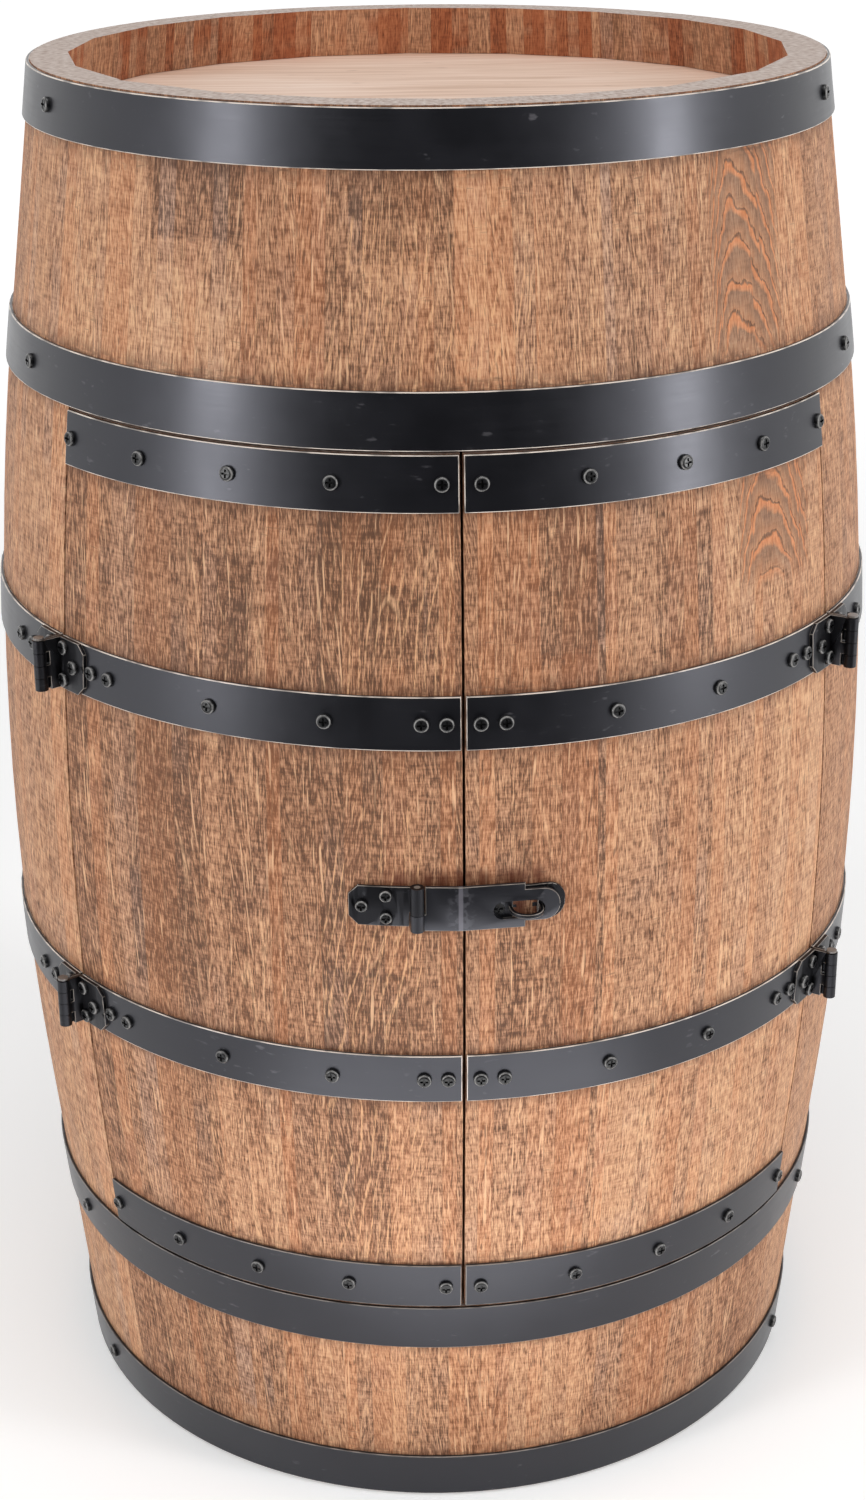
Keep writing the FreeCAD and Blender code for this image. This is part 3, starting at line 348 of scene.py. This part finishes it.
def stave_wood(name, seed, tone=0.0, warmth=0.0, arch=None, on_door=False, blocks=(), lines=()):
    """Rough-sawn staves under stain: fibres, wavy pale grain lines, pores, cloudy stain and saw
    marks.

    seed shifts every pattern, tone is lighter above nought, and warmth is more orange. arch is the
    girth and height of a patch of arched grain. on_door is for the doors' staves, which the doors'
    own bands cross and which take painted shade at the hasp. A block is a board's patch of another
    tone: two turns, two heights, a tone and a warmth. Leaning lines have the first four."""
    graph = Graph(name)
    girth, depth, height = girth_places(graph)
    strip_tone, slip, strip_warm, glue = glued_strips(graph, graph.plus(girth, seed * STRIP_SHIFT))
    lane = graph.plus(graph.times(slip, 3.1), seed)

    wander = graph.pattern(girth, 12.0, lane, height, 5.0)
    lean = graph.times(graph.math("SUBTRACT", slip, 0.35), 0.12)
    across = graph.plus(graph.plus(girth, wander, 0.014), graph.times(height, lean))
    fibre = graph.pattern(across, 1200.0, lane, height, 150.0, detail=3.0, roughness=0.65)
    crumb = graph.pattern(girth, 260.0, graph.plus(lane, 6.0), height, 230.0)
    streak = graph.pattern(across, 340.0, lane, height, 16.0)
    pore = graph.pattern(across, 1000.0, lane, height, 120.0, detail=0.0)
    dash = graph.pattern(across, 820.0, graph.plus(lane, 9.0), height, 34.0, detail=0.0)
    block = graph.pattern(girth, 9.0, graph.times(lane, 3.0), height, 19.0)
    chatter = graph.pattern(girth, 22.0, seed, height, 70.0)
    patch = graph.pattern(girth, 24.0, graph.plus(lane, 4.0), height, 13.0)
    saw = graph.pattern(girth, 90.0, lane, height, 620.0)
    figure = graph.pattern(across, 48.0, graph.plus(lane, 2.0), height, 3.2, detail=1.0,
                           roughness=0.3)
    contour = graph.math("PINGPONG", figure, PALE_TO_DARK)

    # Each pattern sways the tone by its share. Blocks of another tone have ragged ends, and the
    # wood is paler towards the foot.
    ragged = graph.math("SUBTRACT", graph.plus(crumb, chatter), 1.0)
    value = 0.5 + tone
    warm = graph.plus(strip_warm, warmth)
    for *extent, lighter, warmer in blocks:
        mask = block_mask(graph, girth, height, ragged, extent)
        value = graph.plus(value, mask, lighter)
        warm = graph.plus(warm, mask, warmer)
    for pattern, share in ((fibre, 1.25), (block, 0.12), (chatter, 0.15), (saw, 0.36),
                           (crumb, 0.20), (strip_tone, 0.07)):
        value = graph.plus(value, graph.math("SUBTRACT", pattern, 0.5), share)
    value = graph.plus(value, graph.ramp(height, 0.34, 0.12), 0.05)
    base = graph.colours(value, STAVE_TONES)

    # Some strips take the stain more orange, and blocks of it lie greyer.
    orange = graph.ramp(warm, 0.45, 1.3, 0.0, 0.40)
    base = graph.blend(orange, base, graph.blend(0.5, base, shade(*ORANGE_STAIN)))
    grey = graph.plus(graph.ramp(warm, 0.4, -0.6), graph.ramp(block, 0.52, 0.36), 0.35)
    dull = graph.add("ShaderNodeHueSaturation")
    graph.wire(graph.ramp(grey, 0.0, 1.2, 1.0, 0.82), dull.inputs["Saturation"])
    graph.wire(base, dull.inputs["Color"])
    base = dull.outputs["Color"]

    # Wavy pale grain lines with dark ones between them, pale dashes, dark pores, saw marks and
    # glue lines. Some boards have leaning lines or arches besides.
    shown = graph.ramp(patch, 0.42, 0.62, 0.05, 1.0)
    crisp = graph.ramp(fibre, 0.36, 0.56, 0.3, 1.0)
    pale = graph.times(graph.ramp(contour, 0.0055, 0.0015), graph.times(shown, crisp))
    base = graph.blend(graph.times(pale, 0.6), base, shade(*PALE_GRAIN))
    dark = graph.times(graph.ramp(contour, 0.0325, 0.0355), shown)
    base = graph.blend(graph.times(dark, 0.30), base, shade(*DARK_GRAIN))
    dashes = graph.times(graph.ramp(dash, 0.68, 0.76), graph.ramp(patch, 0.56, 0.40, 0.1, 0.75))
    base = graph.blend(dashes, base, shade(*PALE_DASH))
    base = graph.blend(graph.ramp(pore, 0.32, 0.22, 0.0, 0.6), base, shade(*PORE))
    sawn = graph.times(graph.ramp(saw, 0.60, 0.74), graph.ramp(patch, 0.46, 0.62, 0.1, 0.5))
    base = graph.blend(sawn, base, shade(*SAW_MARK))
    glued = graph.times(glue, graph.ramp(chatter, 0.35, 0.60, 0.15, 0.55))
    base = graph.blend(glued, base, shade(*GLUE_LINE))
    broken = graph.times(graph.ramp(fibre, 0.36, 0.56, 0.1, 0.7),
                         graph.ramp(patch, 0.36, 0.52, 0.2, 1.0))
    for extent in lines:
        leaning = leaning_lines(graph, girth, height, wander, broken, extent)
        base = graph.blend(leaning, base, shade(*LEANING_GRAIN))
    if arch:
        arched, near = arch_lines(graph, girth, height, wander, fibre, *arch)
        base = graph.blend(graph.times(near, 0.68), base, arched)

    # Painted shade lies darker in ragged lines along the hoops, on the outside alone.
    facing = facing_out(graph)
    ragged_outside = graph.times(graph.ramp(graph.plus(saw, streak, 0.6), 0.62, 0.92),
                          graph.ramp(facing, 0.0, 0.4, 0.0, 0.7))
    near_hoops = hoop_shade_levels(graph, height, DOOR_BARE if on_door else CARCASS_BARE)
    base = graph.blend(graph.times(near_hoops, ragged_outside), base, shade(*HOOP_PAINTED_SHADE))
    # On the doors, painted shade lies at the hasp, on the outside alone.
    if on_door:
        x, _, _ = graph.split(graph.object_place())
        level = graph.times(graph.ramp(height, HASP_SHADE_TOP, HASP_SHADE_TOP - 0.009),
                            graph.ramp(height, HASP_SHADE_FOOT, HASP_SHADE_FOOT + 0.010))
        beside = graph.times(graph.ramp(x, -0.052, -0.035), graph.ramp(x, 0.055, 0.035))
        beside = graph.times(beside, graph.ramp(facing, 0.0, 0.4))
        hasp_shade = graph.times(graph.times(level, beside),
                              graph.ramp(streak, 0.3, 0.6, 0.3, 0.85))
        base = graph.blend(hasp_shade, base, shade(*HASP_PAINTED_SHADE))

    # The upper ends are paler and greyer. The insides are blended a little towards one paler
    # colour, as painted light against the shade inside the rim, and some strips of them are darker
    # and redder.
    grit = graph.pattern(girth, 300.0, 0.0, depth, 260.0, detail=4.0)
    base = graph.blend(graph.facing_up(0.8, 0.95), base, graph.colours(grit, END_GRAIN_TONES))
    inner = graph.ramp(facing, -0.3, -0.6)
    base = graph.blend(graph.times(inner, 0.15), base, shade(*INNER_PAINTED_LIGHT))
    uneven = graph.ramp(graph.plus(strip_tone, chatter), 0.75, 1.25, 0.0, 0.8)
    base = graph.blend(graph.times(inner, uneven), base, shade(*INNER_SHADE), "MULTIPLY")

    relief = graph.plus(graph.plus(graph.times(fibre, 0.9), saw, 0.4), contour, 6.0)
    return graph.finish(Base_Color=base, Roughness=graph.ramp(fibre, 0.3, 0.7, 0.7, 0.52),
                        Specular_IOR_Level=0.25, Normal=graph.bump(relief, 0.55, FIBRE_DEPTH))


def board_wood(name, cells_across, tones, fleck):
    """Planed boards whose grain runs from side to side."""
    graph = Graph(name)
    x, y, z = graph.split(graph.object_place())
    wander = graph.noise(graph.place(graph.times(x, 4.0), graph.times(y, 9.0), z))
    up = graph.plus(y, wander, 0.03)
    grain = graph.noise(graph.place(graph.times(x, 9.0), graph.times(up, cells_across),
                                    graph.times(z, cells_across)), detail=4.0, roughness=0.6)
    cloud = graph.noise(graph.place(graph.times(x, 6.0), graph.times(y, 14.0), 2.0), detail=3.0)
    value = graph.plus(graph.times(cloud, 0.45), grain, 0.55)
    base = graph.colours(value, tones)
    flecks = graph.noise(graph.place(graph.times(x, 45.0), graph.times(y, 150.0), 5.0))
    base = graph.blend(graph.ramp(flecks, 0.68, 0.78, 0.0, 0.5), base, shade(*fleck))
    return graph.finish(Base_Color=base, Roughness=graph.ramp(grain, 0.3, 0.7, 0.64, 0.52),
                        Specular_IOR_Level=0.3, Normal=graph.bump(grain, 0.3, BOARD_DEPTH))


# ---- metal ----------------------------------------------------------------------------------

# Two tones of black to a finish, which smudges blend.
HOOP_BLACKS = ((8, 8, 10), (20, 20, 24))
FITTING_BLACKS = ((6, 6, 7), (15, 14, 16))
STRAP_BLACKS = ((12, 12, 14), (26, 26, 30))
PIN_BLACKS = ((14, 14, 16), (30, 30, 33))
SCREW_BLACKS = ((10, 10, 11), (26, 26, 28))
SCUFF = (92, 90, 94)
FOLD_MOTTLE = (84, 83, 88)
FOLD_LINE = (92, 90, 96)
RUBBED_AND_LIT_PAINT = (226, 214, 202)
SCREW_RING_HIGHLIGHT = (150, 148, 146)
COOL_GLOSS = (0.88, 0.89, 1.0, 1.0)
PAINT_DEPTH = 0.0003
SCREW_DEPTH = 0.0002
STRAP_FOLD = -0.0022

# By slot, how wide the eased edges are and the shortest edge that is eased.
EASED = {"hoop_iron": (0.0005, 0.0015), "black_fitting": (0.0003, 0.0006)}
EASE_STEPS = 2
WELD_REACH = 0.00015
FLAT_WITHIN = math.radians(0.3)
EDGE_TURN = math.radians(35)
SHARP_TURN = math.radians(32)
FOLLOWS_BARREL = 0.85
# Hoops whose tops lie lower than this have their edges in painted shade, paler only a little.
EDGES_IN_SHADE_BELOW = 0.2


def black_metal(name, blacks, rough, specular=0.6, rubbed_and_lit=0.0, bend=None):
    """Satin black paint with smudges, scuffs and fine scratches.

    It is paled in patches by the given share, as worn paint and as painted highlight on an
    edge, and bend is the x of a fold, along which it is paler and mottled."""
    graph = Graph(name)
    spot = graph.object_place()
    girth, depth, height = girth_places(graph)
    smudge = graph.noise(spot, detail=3.0, scale=34.0)
    specks = graph.noise(spot, detail=2.0, scale=420.0)
    drawn = graph.pattern(girth, 16.0, depth, height, 800.0)
    scuff = graph.pattern(girth, 110.0, depth, height, 300.0)
    base = graph.blend(smudge, *[shade(*black) for black in blacks])
    scuffed = graph.times(graph.ramp(scuff, 0.64, 0.76), graph.ramp(smudge, 0.48, 0.66, 0.0, 0.6))
    base = graph.blend(scuffed, base, shade(*SCUFF))
    roughness = graph.plus(graph.plus(rough - 0.10, smudge, 0.14), drawn, 0.06)
    if bend is not None:
        x, _, _ = graph.split(spot)
        off = graph.math("ABSOLUTE", graph.math("SUBTRACT", x, bend))
        mottle = graph.ramp(graph.noise(spot, detail=2.0, scale=260.0), 0.46, 0.58)
        near = graph.times(graph.ramp(off, 0.009, 0.003), graph.times(mottle, 0.35))
        base = graph.blend(near, base, shade(*FOLD_MOTTLE))
        base = graph.blend(graph.ramp(off, 0.0015, 0.0008, 0.0, 0.85), base, shade(*FOLD_LINE))
    # Pale patches, as worn paint and as painted highlight on the edges.
    if rubbed_and_lit:
        patchy = graph.ramp(graph.noise(spot, scale=70.0), 0.34, 0.56, 0.35, 1.0)
        base = graph.blend(graph.times(patchy, rubbed_and_lit), base, shade(*RUBBED_AND_LIT_PAINT))
    relief = graph.plus(graph.times(specks, 0.3), drawn, 0.4)
    return graph.finish(Base_Color=base, Roughness=roughness, Specular_IOR_Level=specular,
                        Specular_Tint=COOL_GLOSS, Normal=graph.bump(relief, 0.12, PAINT_DEPTH))


def screw_metal():
    """Blackened screws, with a painted highlight ring on the shoulders of their heads."""
    graph = Graph("screw_black")
    spot = graph.object_place()
    smudge = graph.noise(spot, detail=2.0, scale=300.0)
    base = graph.blend(smudge, *[shade(*black) for black in SCREW_BLACKS])
    facing = facing_out(graph)
    # Painted highlight: a pale ring on the shoulders of the heads, broken by the smudges.
    shoulder = graph.times(graph.ramp(facing, 0.40, 0.60), graph.ramp(facing, 0.93, 0.80))
    ring_highlight = graph.times(shoulder, graph.ramp(smudge, 0.3, 0.6, 0.2, 0.7))
    base = graph.blend(ring_highlight, base, shade(*SCREW_RING_HIGHLIGHT))
    return graph.finish(Base_Color=base, Roughness=graph.ramp(smudge, 0.3, 0.7, 0.24, 0.36),
                        Specular_IOR_Level=0.4, Normal=graph.bump(smudge, 0.1, SCREW_DEPTH))


def dress(names, material):
    """Give shown CAD nodes their finish."""
    for name in names:
        mesh = nodes[name].data
        mesh.materials.clear()
        mesh.materials.append(material)


def merged_copy(name):
    """The node's faces as one joined mesh, to be worked on."""
    shape = bmesh.new()
    shape.from_mesh(nodes[name].data)
    bmesh.ops.remove_doubles(shape, verts=shape.verts, dist=WELD_REACH)
    bmesh.ops.dissolve_limit(shape, angle_limit=FLAT_WITHIN, verts=shape.verts,
                             edges=shape.edges, delimit={"NORMAL"})
    return shape


def outline_edges(shape, shortest):
    """Sharp outward edges, leaving out the short ones round the screw holes."""
    return [edge for edge in shape.edges
            if edge.is_manifold and edge.is_convex and edge.calc_length() > shortest
            and edge.calc_face_angle() > EDGE_TURN]


def eased_edges(shape, width, shortest):
    """Round the outline's edges, and return the new narrow faces."""
    made = bmesh.ops.bevel(shape, geom=outline_edges(shape, shortest), affect="EDGES",
                           offset=width, segments=EASE_STEPS, profile=0.5, material=-1,
                           clamp_overlap=False)
    return made["faces"]


def true_round(mesh):
    """Faces that follow the barrel shade as one smooth round, whatever their own outlines."""
    normals = []
    for face in mesh.polygons:
        out = Vector((face.center.x, face.center.y, 0)).normalized()
        outward = face.normal.dot(out)
        follows = abs(outward) > FOLLOWS_BARREL
        length = math.copysign(math.sqrt(1 - face.normal.z ** 2), outward)
        for number in face.loop_indices:
            spot = mesh.vertices[mesh.loops[number].vertex_index].co
            level = Vector((spot.x, spot.y, 0)).normalized() * length
            normals.append((level.x, level.y, face.normal.z) if follows else (0, 0, 0))
    mesh.normals_split_custom_set(normals)


def finished_piece(shape, node, slot, materials):
    """The worked mesh takes the node's place, on the node's body."""
    name = node + "_lit_edges"
    mesh = bpy.data.meshes.new(name)
    bmesh.ops.recalc_face_normals(shape, faces=shape.faces)
    for face in shape.faces:
        face.smooth = True
    shape.to_mesh(mesh)
    shape.free()
    mesh.set_sharp_from_angle(angle=SHARP_TURN)
    if slot == "hoop_iron":
        true_round(mesh)
    for material in materials:
        mesh.materials.append(material)
    piece = bpy.data.objects.new(name, mesh)
    bpy.context.scene.collection.objects.link(piece)
    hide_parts(node)
    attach(piece, BODY_OF[node])


def piece_with_lit_edges(node, slot, paint, lit_edge_paint):
    """A metal piece with eased edges, which are paler as worn paint and as painted highlight."""
    shape = merged_copy(node)
    for face in eased_edges(shape, *EASED[slot]):
        face.material_index = 1
    finished_piece(shape, node, slot, [paint, lit_edge_paint])


# ---- finishes of the pieces -----------------------------------------------------------------

STAVE_WOODS = [
    stave_wood("stave_wood_plain", 1.0), stave_wood("stave_wood_pale", 2.3, 0.05),
    stave_wood("stave_wood_warm", 3.9, 0.0, 0.3), stave_wood("stave_wood_deep", 5.2, -0.04),
    stave_wood("stave_wood_brown", 6.6, -0.02, -0.2),
    stave_wood("stave_wood_light", 8.1, 0.07, 0.1)]
# Turns are in degrees from the front, to the right, and heights are in metres.
FRONT_WOODS = {
    "lintel_staves": stave_wood(
        "lintel_wood", 9.4, 0.02, 0.0, arch=(0.170, 0.735),
        blocks=[(-41, -27.2, 0.734, 0.80, -0.13, -0.3), (-13.5, -0.5, 0.730, 0.80, -0.12, -0.2),
                (-13.5, -1.5, 0.712, 0.726, 0.08, 0.0), (-27, -13.5, 0.60, 0.80, -0.05, 0.4),
                (-60, -43, 0.60, 0.80, 0.06, 0.1), (-42, -27.2, 0.60, 0.716, 0.07, 0.0),
                (-13.5, -0.5, 0.60, 0.730, -0.06, 0.0), (-0.5, 9.5, 0.60, 0.80, 0.05, 0.6),
                (9.5, 22, 0.60, 0.80, 0.01, -0.2), (46, 60, 0.60, 0.80, 0.05, 0.1),
                (-26.3, -25.9, 0.728, 0.764, 0.0, 6.0)],
        lines=[(-13.5, -0.5, 0.60, 0.765), (-26, -14, 0.60, 0.715), (0.5, 9, 0.60, 0.74)]),
    "sill_staves": stave_wood(
        "sill_wood", 8.1, -0.05, 0.1,
        blocks=[(-60, -36, 0.0, 0.2, -0.07, 0.0), (-20, -6, 0.0, 0.2, 0.05, 0.1),
                (6, 17, 0.0, 0.2, 0.06, 0.1), (26, 38, 0.0, 0.2, -0.02, 0.5),
                (-36, -28, 0.05, 0.2, -0.05, -0.3), (44, 60, 0.0, 0.2, -0.05, 0.0)],
        lines=[(-10, 2, 0.0, 0.2)]),
    "left_door_outer_stave": stave_wood(
        "left_outer_wood", 6.6, -0.07, -0.1, on_door=True,
        blocks=[(-60, -48, 0.1, 0.7, -0.01, 0.6), (-44, -32, 0.33, 0.48, -0.06, 0.0)]),
    "left_door_middle_stave": stave_wood(
        "left_middle_wood", 1.0, -0.06, 0.1, on_door=True,
        blocks=[(-32, -25, 0.52, 0.585, -0.06, -0.3), (-25, -17, 0.42, 0.486, -0.05, 0.0),
                (-32, -22, 0.17, 0.27, 0.05, 0.1)]),
    "left_door_inner_stave": stave_wood(
        "left_inner_wood", 10.7, -0.10, 0.0, on_door=True,
        blocks=[(-17, -8, 0.555, 0.62, -0.06, 0.1), (-12, -4, 0.535, 0.575, -0.05, -0.3),
                (-17, -5, 0.31, 0.36, -0.05, -0.3), (-9, 0, 0.17, 0.28, 0.06, 0.0)],
        lines=[(-17, -1, 0.515, 0.605), (-17, -5, 0.17, 0.47)]),
    "right_door_inner_stave": stave_wood(
        "right_inner_wood", 12.2, -0.06, 0.15, on_door=True,
        blocks=[(0, 9, 0.5, 0.62, -0.02, 0.5), (9, 17, 0.53, 0.61, -0.05, -0.3),
                (0, 17, 0.17, 0.28, 0.05, 0.0), (4, 12, 0.30, 0.37, -0.04, -0.2)]),
    "right_door_middle_stave": stave_wood(
        "right_middle_wood", 3.9, -0.02, 0.1, on_door=True,
        blocks=[(24, 32, 0.52, 0.60, -0.07, 0.0), (17, 24, 0.40, 0.48, 0.05, 0.1),
                (17, 26, 0.17, 0.28, 0.07, 0.0)]),
    "right_door_outer_stave": stave_wood(
        "right_outer_wood", 13.6, 0.05, 0.1, arch=(0.181, 0.615), on_door=True,
        blocks=[(44, 56, 0.32, 0.48, 0.07, 0.0)]),
}
for number, name in enumerate(sorted(name for name in nodes if "stave" in name)):
    dress([name], FRONT_WOODS.get(name) or STAVE_WOODS[number % len(STAVE_WOODS)])
dress(["top_head", "bottom_head"], board_wood("head_wood", 240.0, HEAD_TONES, HEAD_FLECK))
dress(["shelf", "shelf_cleats"], board_wood("inside_wood", 190.0, SHELF_TONES, SHELF_FLECK))
HOOP_PAINT = black_metal("hoop_paint", HOOP_BLACKS, 0.32)
# Edge finishes, paler as worn paint and as painted highlight; the low hoops' edges are in painted
# shade, with less of it.
HOOP_EDGE_RUBBED_AND_LIT = black_metal("hoop_edge_rubbed_and_lit", HOOP_BLACKS, 0.36, rubbed_and_lit=0.95)
LOW_EDGE_IN_SHADE = black_metal("low_hoop_edge_in_shade", HOOP_BLACKS, 0.36, rubbed_and_lit=0.3)
FITTING_PAINT = black_metal("fitting_paint", FITTING_BLACKS, 0.36, specular=0.35)
FITTING_EDGE_RUBBED_AND_LIT = black_metal("fitting_edge_rubbed_and_lit", FITTING_BLACKS, 0.36, specular=0.35, rubbed_and_lit=0.4)
STRAP_PAINT = black_metal("strap_paint", STRAP_BLACKS, 0.34, bend=STRAP_FOLD)
for name in sorted(nodes):
    if name.endswith(("_hoop", "_strip")):
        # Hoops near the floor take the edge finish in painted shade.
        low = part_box(name)[1].z < EDGES_IN_SHADE_BELOW
        piece_with_lit_edges(name, "hoop_iron", HOOP_PAINT, LOW_EDGE_IN_SHADE if low else HOOP_EDGE_RUBBED_AND_LIT)
    elif name.endswith("_leaf") or name in ("hasp_plate", "staple"):
        piece_with_lit_edges(name, "black_fitting", FITTING_PAINT, FITTING_EDGE_RUBBED_AND_LIT)
piece_with_lit_edges("hasp_strap", "black_fitting", STRAP_PAINT, FITTING_EDGE_RUBBED_AND_LIT)
dress([name for name in nodes if name.endswith("_screws")], screw_metal())
dress(["hinge_pins", "hasp_pin"], black_metal("pin_black", PIN_BLACKS, 0.3, rubbed_and_lit=0.25))


# ---- floor, light and camera ----------------------------------------------------------------

FLOOR_RADIUS = 14.0
FLOOR_DROP = 0.0005
FLOOR_GREY = (0.85, 0.85, 0.85, 1.0)
GLOW_NEAR, GLOW_FAR = 0.33, 0.78
GLOW_STARTS, GLOW_FULL = 0.5, 3.5
EVEN_LIGHT = 0.32
WHITE = (1.0, 1.0, 1.0, 1.0)
CARD_BLACK = (0.01, 0.01, 0.01, 1.0)
CARD_LIFT = 0.002


def studio_floor():
    """Pale floor that keeps the shadow, with a glow that only the eye and reflections see."""
    shape = bmesh.new()
    bmesh.ops.create_circle(shape, cap_ends=True, segments=96, radius=FLOOR_RADIUS)
    mesh = bpy.data.meshes.new("floor")
    shape.to_mesh(mesh)
    shape.free()
    floor = bpy.data.objects.new("floor", mesh)
    bpy.context.scene.collection.objects.link(floor)
    floor.location.z = -FLOOR_DROP
    graph = Graph("floor_white")
    diffuse = graph.add("ShaderNodeBsdfDiffuse")
    diffuse.inputs["Color"].default_value = FLOOR_GREY
    glow = graph.add("ShaderNodeEmission")
    x, y, _ = graph.split(graph.object_place())
    glowing = graph.ramp(graph.off_axis(x, y), GLOW_STARTS, GLOW_FULL, GLOW_NEAR, GLOW_FAR)
    path = graph.add("ShaderNodeLightPath").outputs
    seen = graph.math("MAXIMUM", path["Is Camera Ray"],
                      graph.math("MAXIMUM", path["Is Glossy Ray"], path["Is Transmission Ray"]))
    graph.wire(graph.times(seen, glowing), glow.inputs["Strength"])
    both = graph.add("ShaderNodeAddShader")
    graph.wire(diffuse.outputs[0], both.inputs[0])
    graph.wire(glow.outputs[0], both.inputs[1])
    graph.tree.links.new(both.outputs[0], graph.output.inputs["Surface"])
    mesh.materials.append(graph.material)


def studio_world(level):
    """Even light of one level, which shows as white to the eye and in reflections."""
    world = bpy.data.worlds.new("studio")
    bpy.context.scene.world = world
    world.use_nodes = True
    tree = world.node_tree
    tree.nodes.clear()
    path = tree.nodes.new("ShaderNodeLightPath").outputs
    seen = path["Is Camera Ray"]
    for name in ("Is Glossy Ray", "Is Transmission Ray"):
        either = tree.nodes.new("ShaderNodeMath")
        either.operation = "MAXIMUM"
        tree.links.new(seen, either.inputs[0])
        tree.links.new(path[name], either.inputs[1])
        seen = either.outputs[0]
    strength = tree.nodes.new("ShaderNodeMapRange")
    tree.links.new(seen, strength.inputs["Value"])
    strength.inputs["To Min"].default_value = level
    strength.inputs["To Max"].default_value = 1.0
    background = tree.nodes.new("ShaderNodeBackground")
    background.inputs["Color"].default_value = WHITE
    tree.links.new(strength.outputs["Result"], background.inputs["Strength"])
    output = tree.nodes.new("ShaderNodeOutputWorld")
    tree.links.new(background.outputs[0], output.inputs["Surface"])


def softbox(name, place, aim, width, height, power):
    """A large soft lamp at a place, facing a point. It lights and is reflected, and isn't seen."""
    lamp = bpy.data.lights.new(name, "AREA")
    lamp.shape = "RECTANGLE"
    lamp.size = width
    lamp.size_y = height
    lamp.energy = power
    holder = bpy.data.objects.new(name, lamp)
    holder.location = place
    holder.rotation_euler = (Vector(aim) - Vector(place)).to_track_quat("-Z", "Y").to_euler()
    holder.visible_camera = False
    bpy.context.scene.collection.objects.link(holder)


CAMERA_PLACE = Vector((-0.08726, -1.40399, 0.97069))
CAMERA_YAW = math.radians(3.562)
CAMERA_DIP = math.radians(22.750)
CAMERA_ROLL = math.radians(-0.3955)
FOCAL_PIXELS = 2478.33
PICTURE_PIXELS = 1500
SENSOR = 36.0


def studio_camera():
    """Camera that stands before the barrel, a little to the left, and looks down on it."""
    lens = bpy.data.cameras.new("camera")
    lens.sensor_width = SENSOR
    lens.lens = FOCAL_PIXELS / PICTURE_PIXELS * SENSOR
    lens.clip_start = 0.05
    lens.clip_end = 100.0
    camera = bpy.data.objects.new("camera", lens)
    ahead = Vector((math.sin(CAMERA_YAW) * math.cos(CAMERA_DIP),
                    math.cos(CAMERA_YAW) * math.cos(CAMERA_DIP), -math.sin(CAMERA_DIP)))
    level_right = ahead.cross(Vector((0, 0, 1))).normalized()
    level_up = level_right.cross(ahead)
    right = level_right * math.cos(CAMERA_ROLL) + level_up * math.sin(CAMERA_ROLL)
    up = level_up * math.cos(CAMERA_ROLL) - level_right * math.sin(CAMERA_ROLL)
    turn = Matrix((right, up, -ahead)).transposed().to_4x4()
    camera.matrix_world = Matrix.Translation(CAMERA_PLACE) @ turn
    bpy.context.scene.collection.objects.link(camera)
    bpy.context.scene.camera = camera


def dark_card():
    """Black card before the barrel, which only reflections show, so that the paint looks black."""
    # Half the width, the place and the height of its near edge, its fold and its top edge.
    edges = ((0.9, -0.85, CARD_LIFT), (2.2, -3.0, CARD_LIFT), (2.2, -3.3, 2.0))
    shape = bmesh.new()
    rows = [[shape.verts.new((side * half, y, z)) for side in (-1, 1)]
            for half, y, z in edges]
    for (left, right), (far_left, far_right) in zip(rows, rows[1:]):
        shape.faces.new((left, right, far_right, far_left))
    mesh = bpy.data.meshes.new("dark_card")
    shape.to_mesh(mesh)
    shape.free()
    card = bpy.data.objects.new("dark_card", mesh)
    bpy.context.scene.collection.objects.link(card)
    for ray in ("camera", "diffuse", "shadow", "transmission"):
        setattr(card, "visible_" + ray, False)
    graph = Graph("card_black")
    mesh.materials.append(graph.finish(Base_Color=CARD_BLACK, Roughness=0.9))


studio_floor()
dark_card()
studio_world(EVEN_LIGHT)
MIDDLE = (0.0, 0.0, 0.42)
softbox("left_softbox", (-2.0, -1.3, 0.85), MIDDLE, width=0.45, height=1.6, power=24.0)
softbox("right_softbox", (2.1, -1.15, 0.85), MIDDLE, width=0.45, height=1.6, power=28.0)
softbox("overhead", (0.0, -0.4, 2.8), MIDDLE, width=1.6, height=1.2, power=24.0)
softbox("floor_bounce", (0.0, -0.60, 0.004), (0.0, -0.60, 1.0), width=0.8, height=0.46, power=2.6)
studio_camera()
bpy.context.scene.view_settings.view_transform = "Standard"
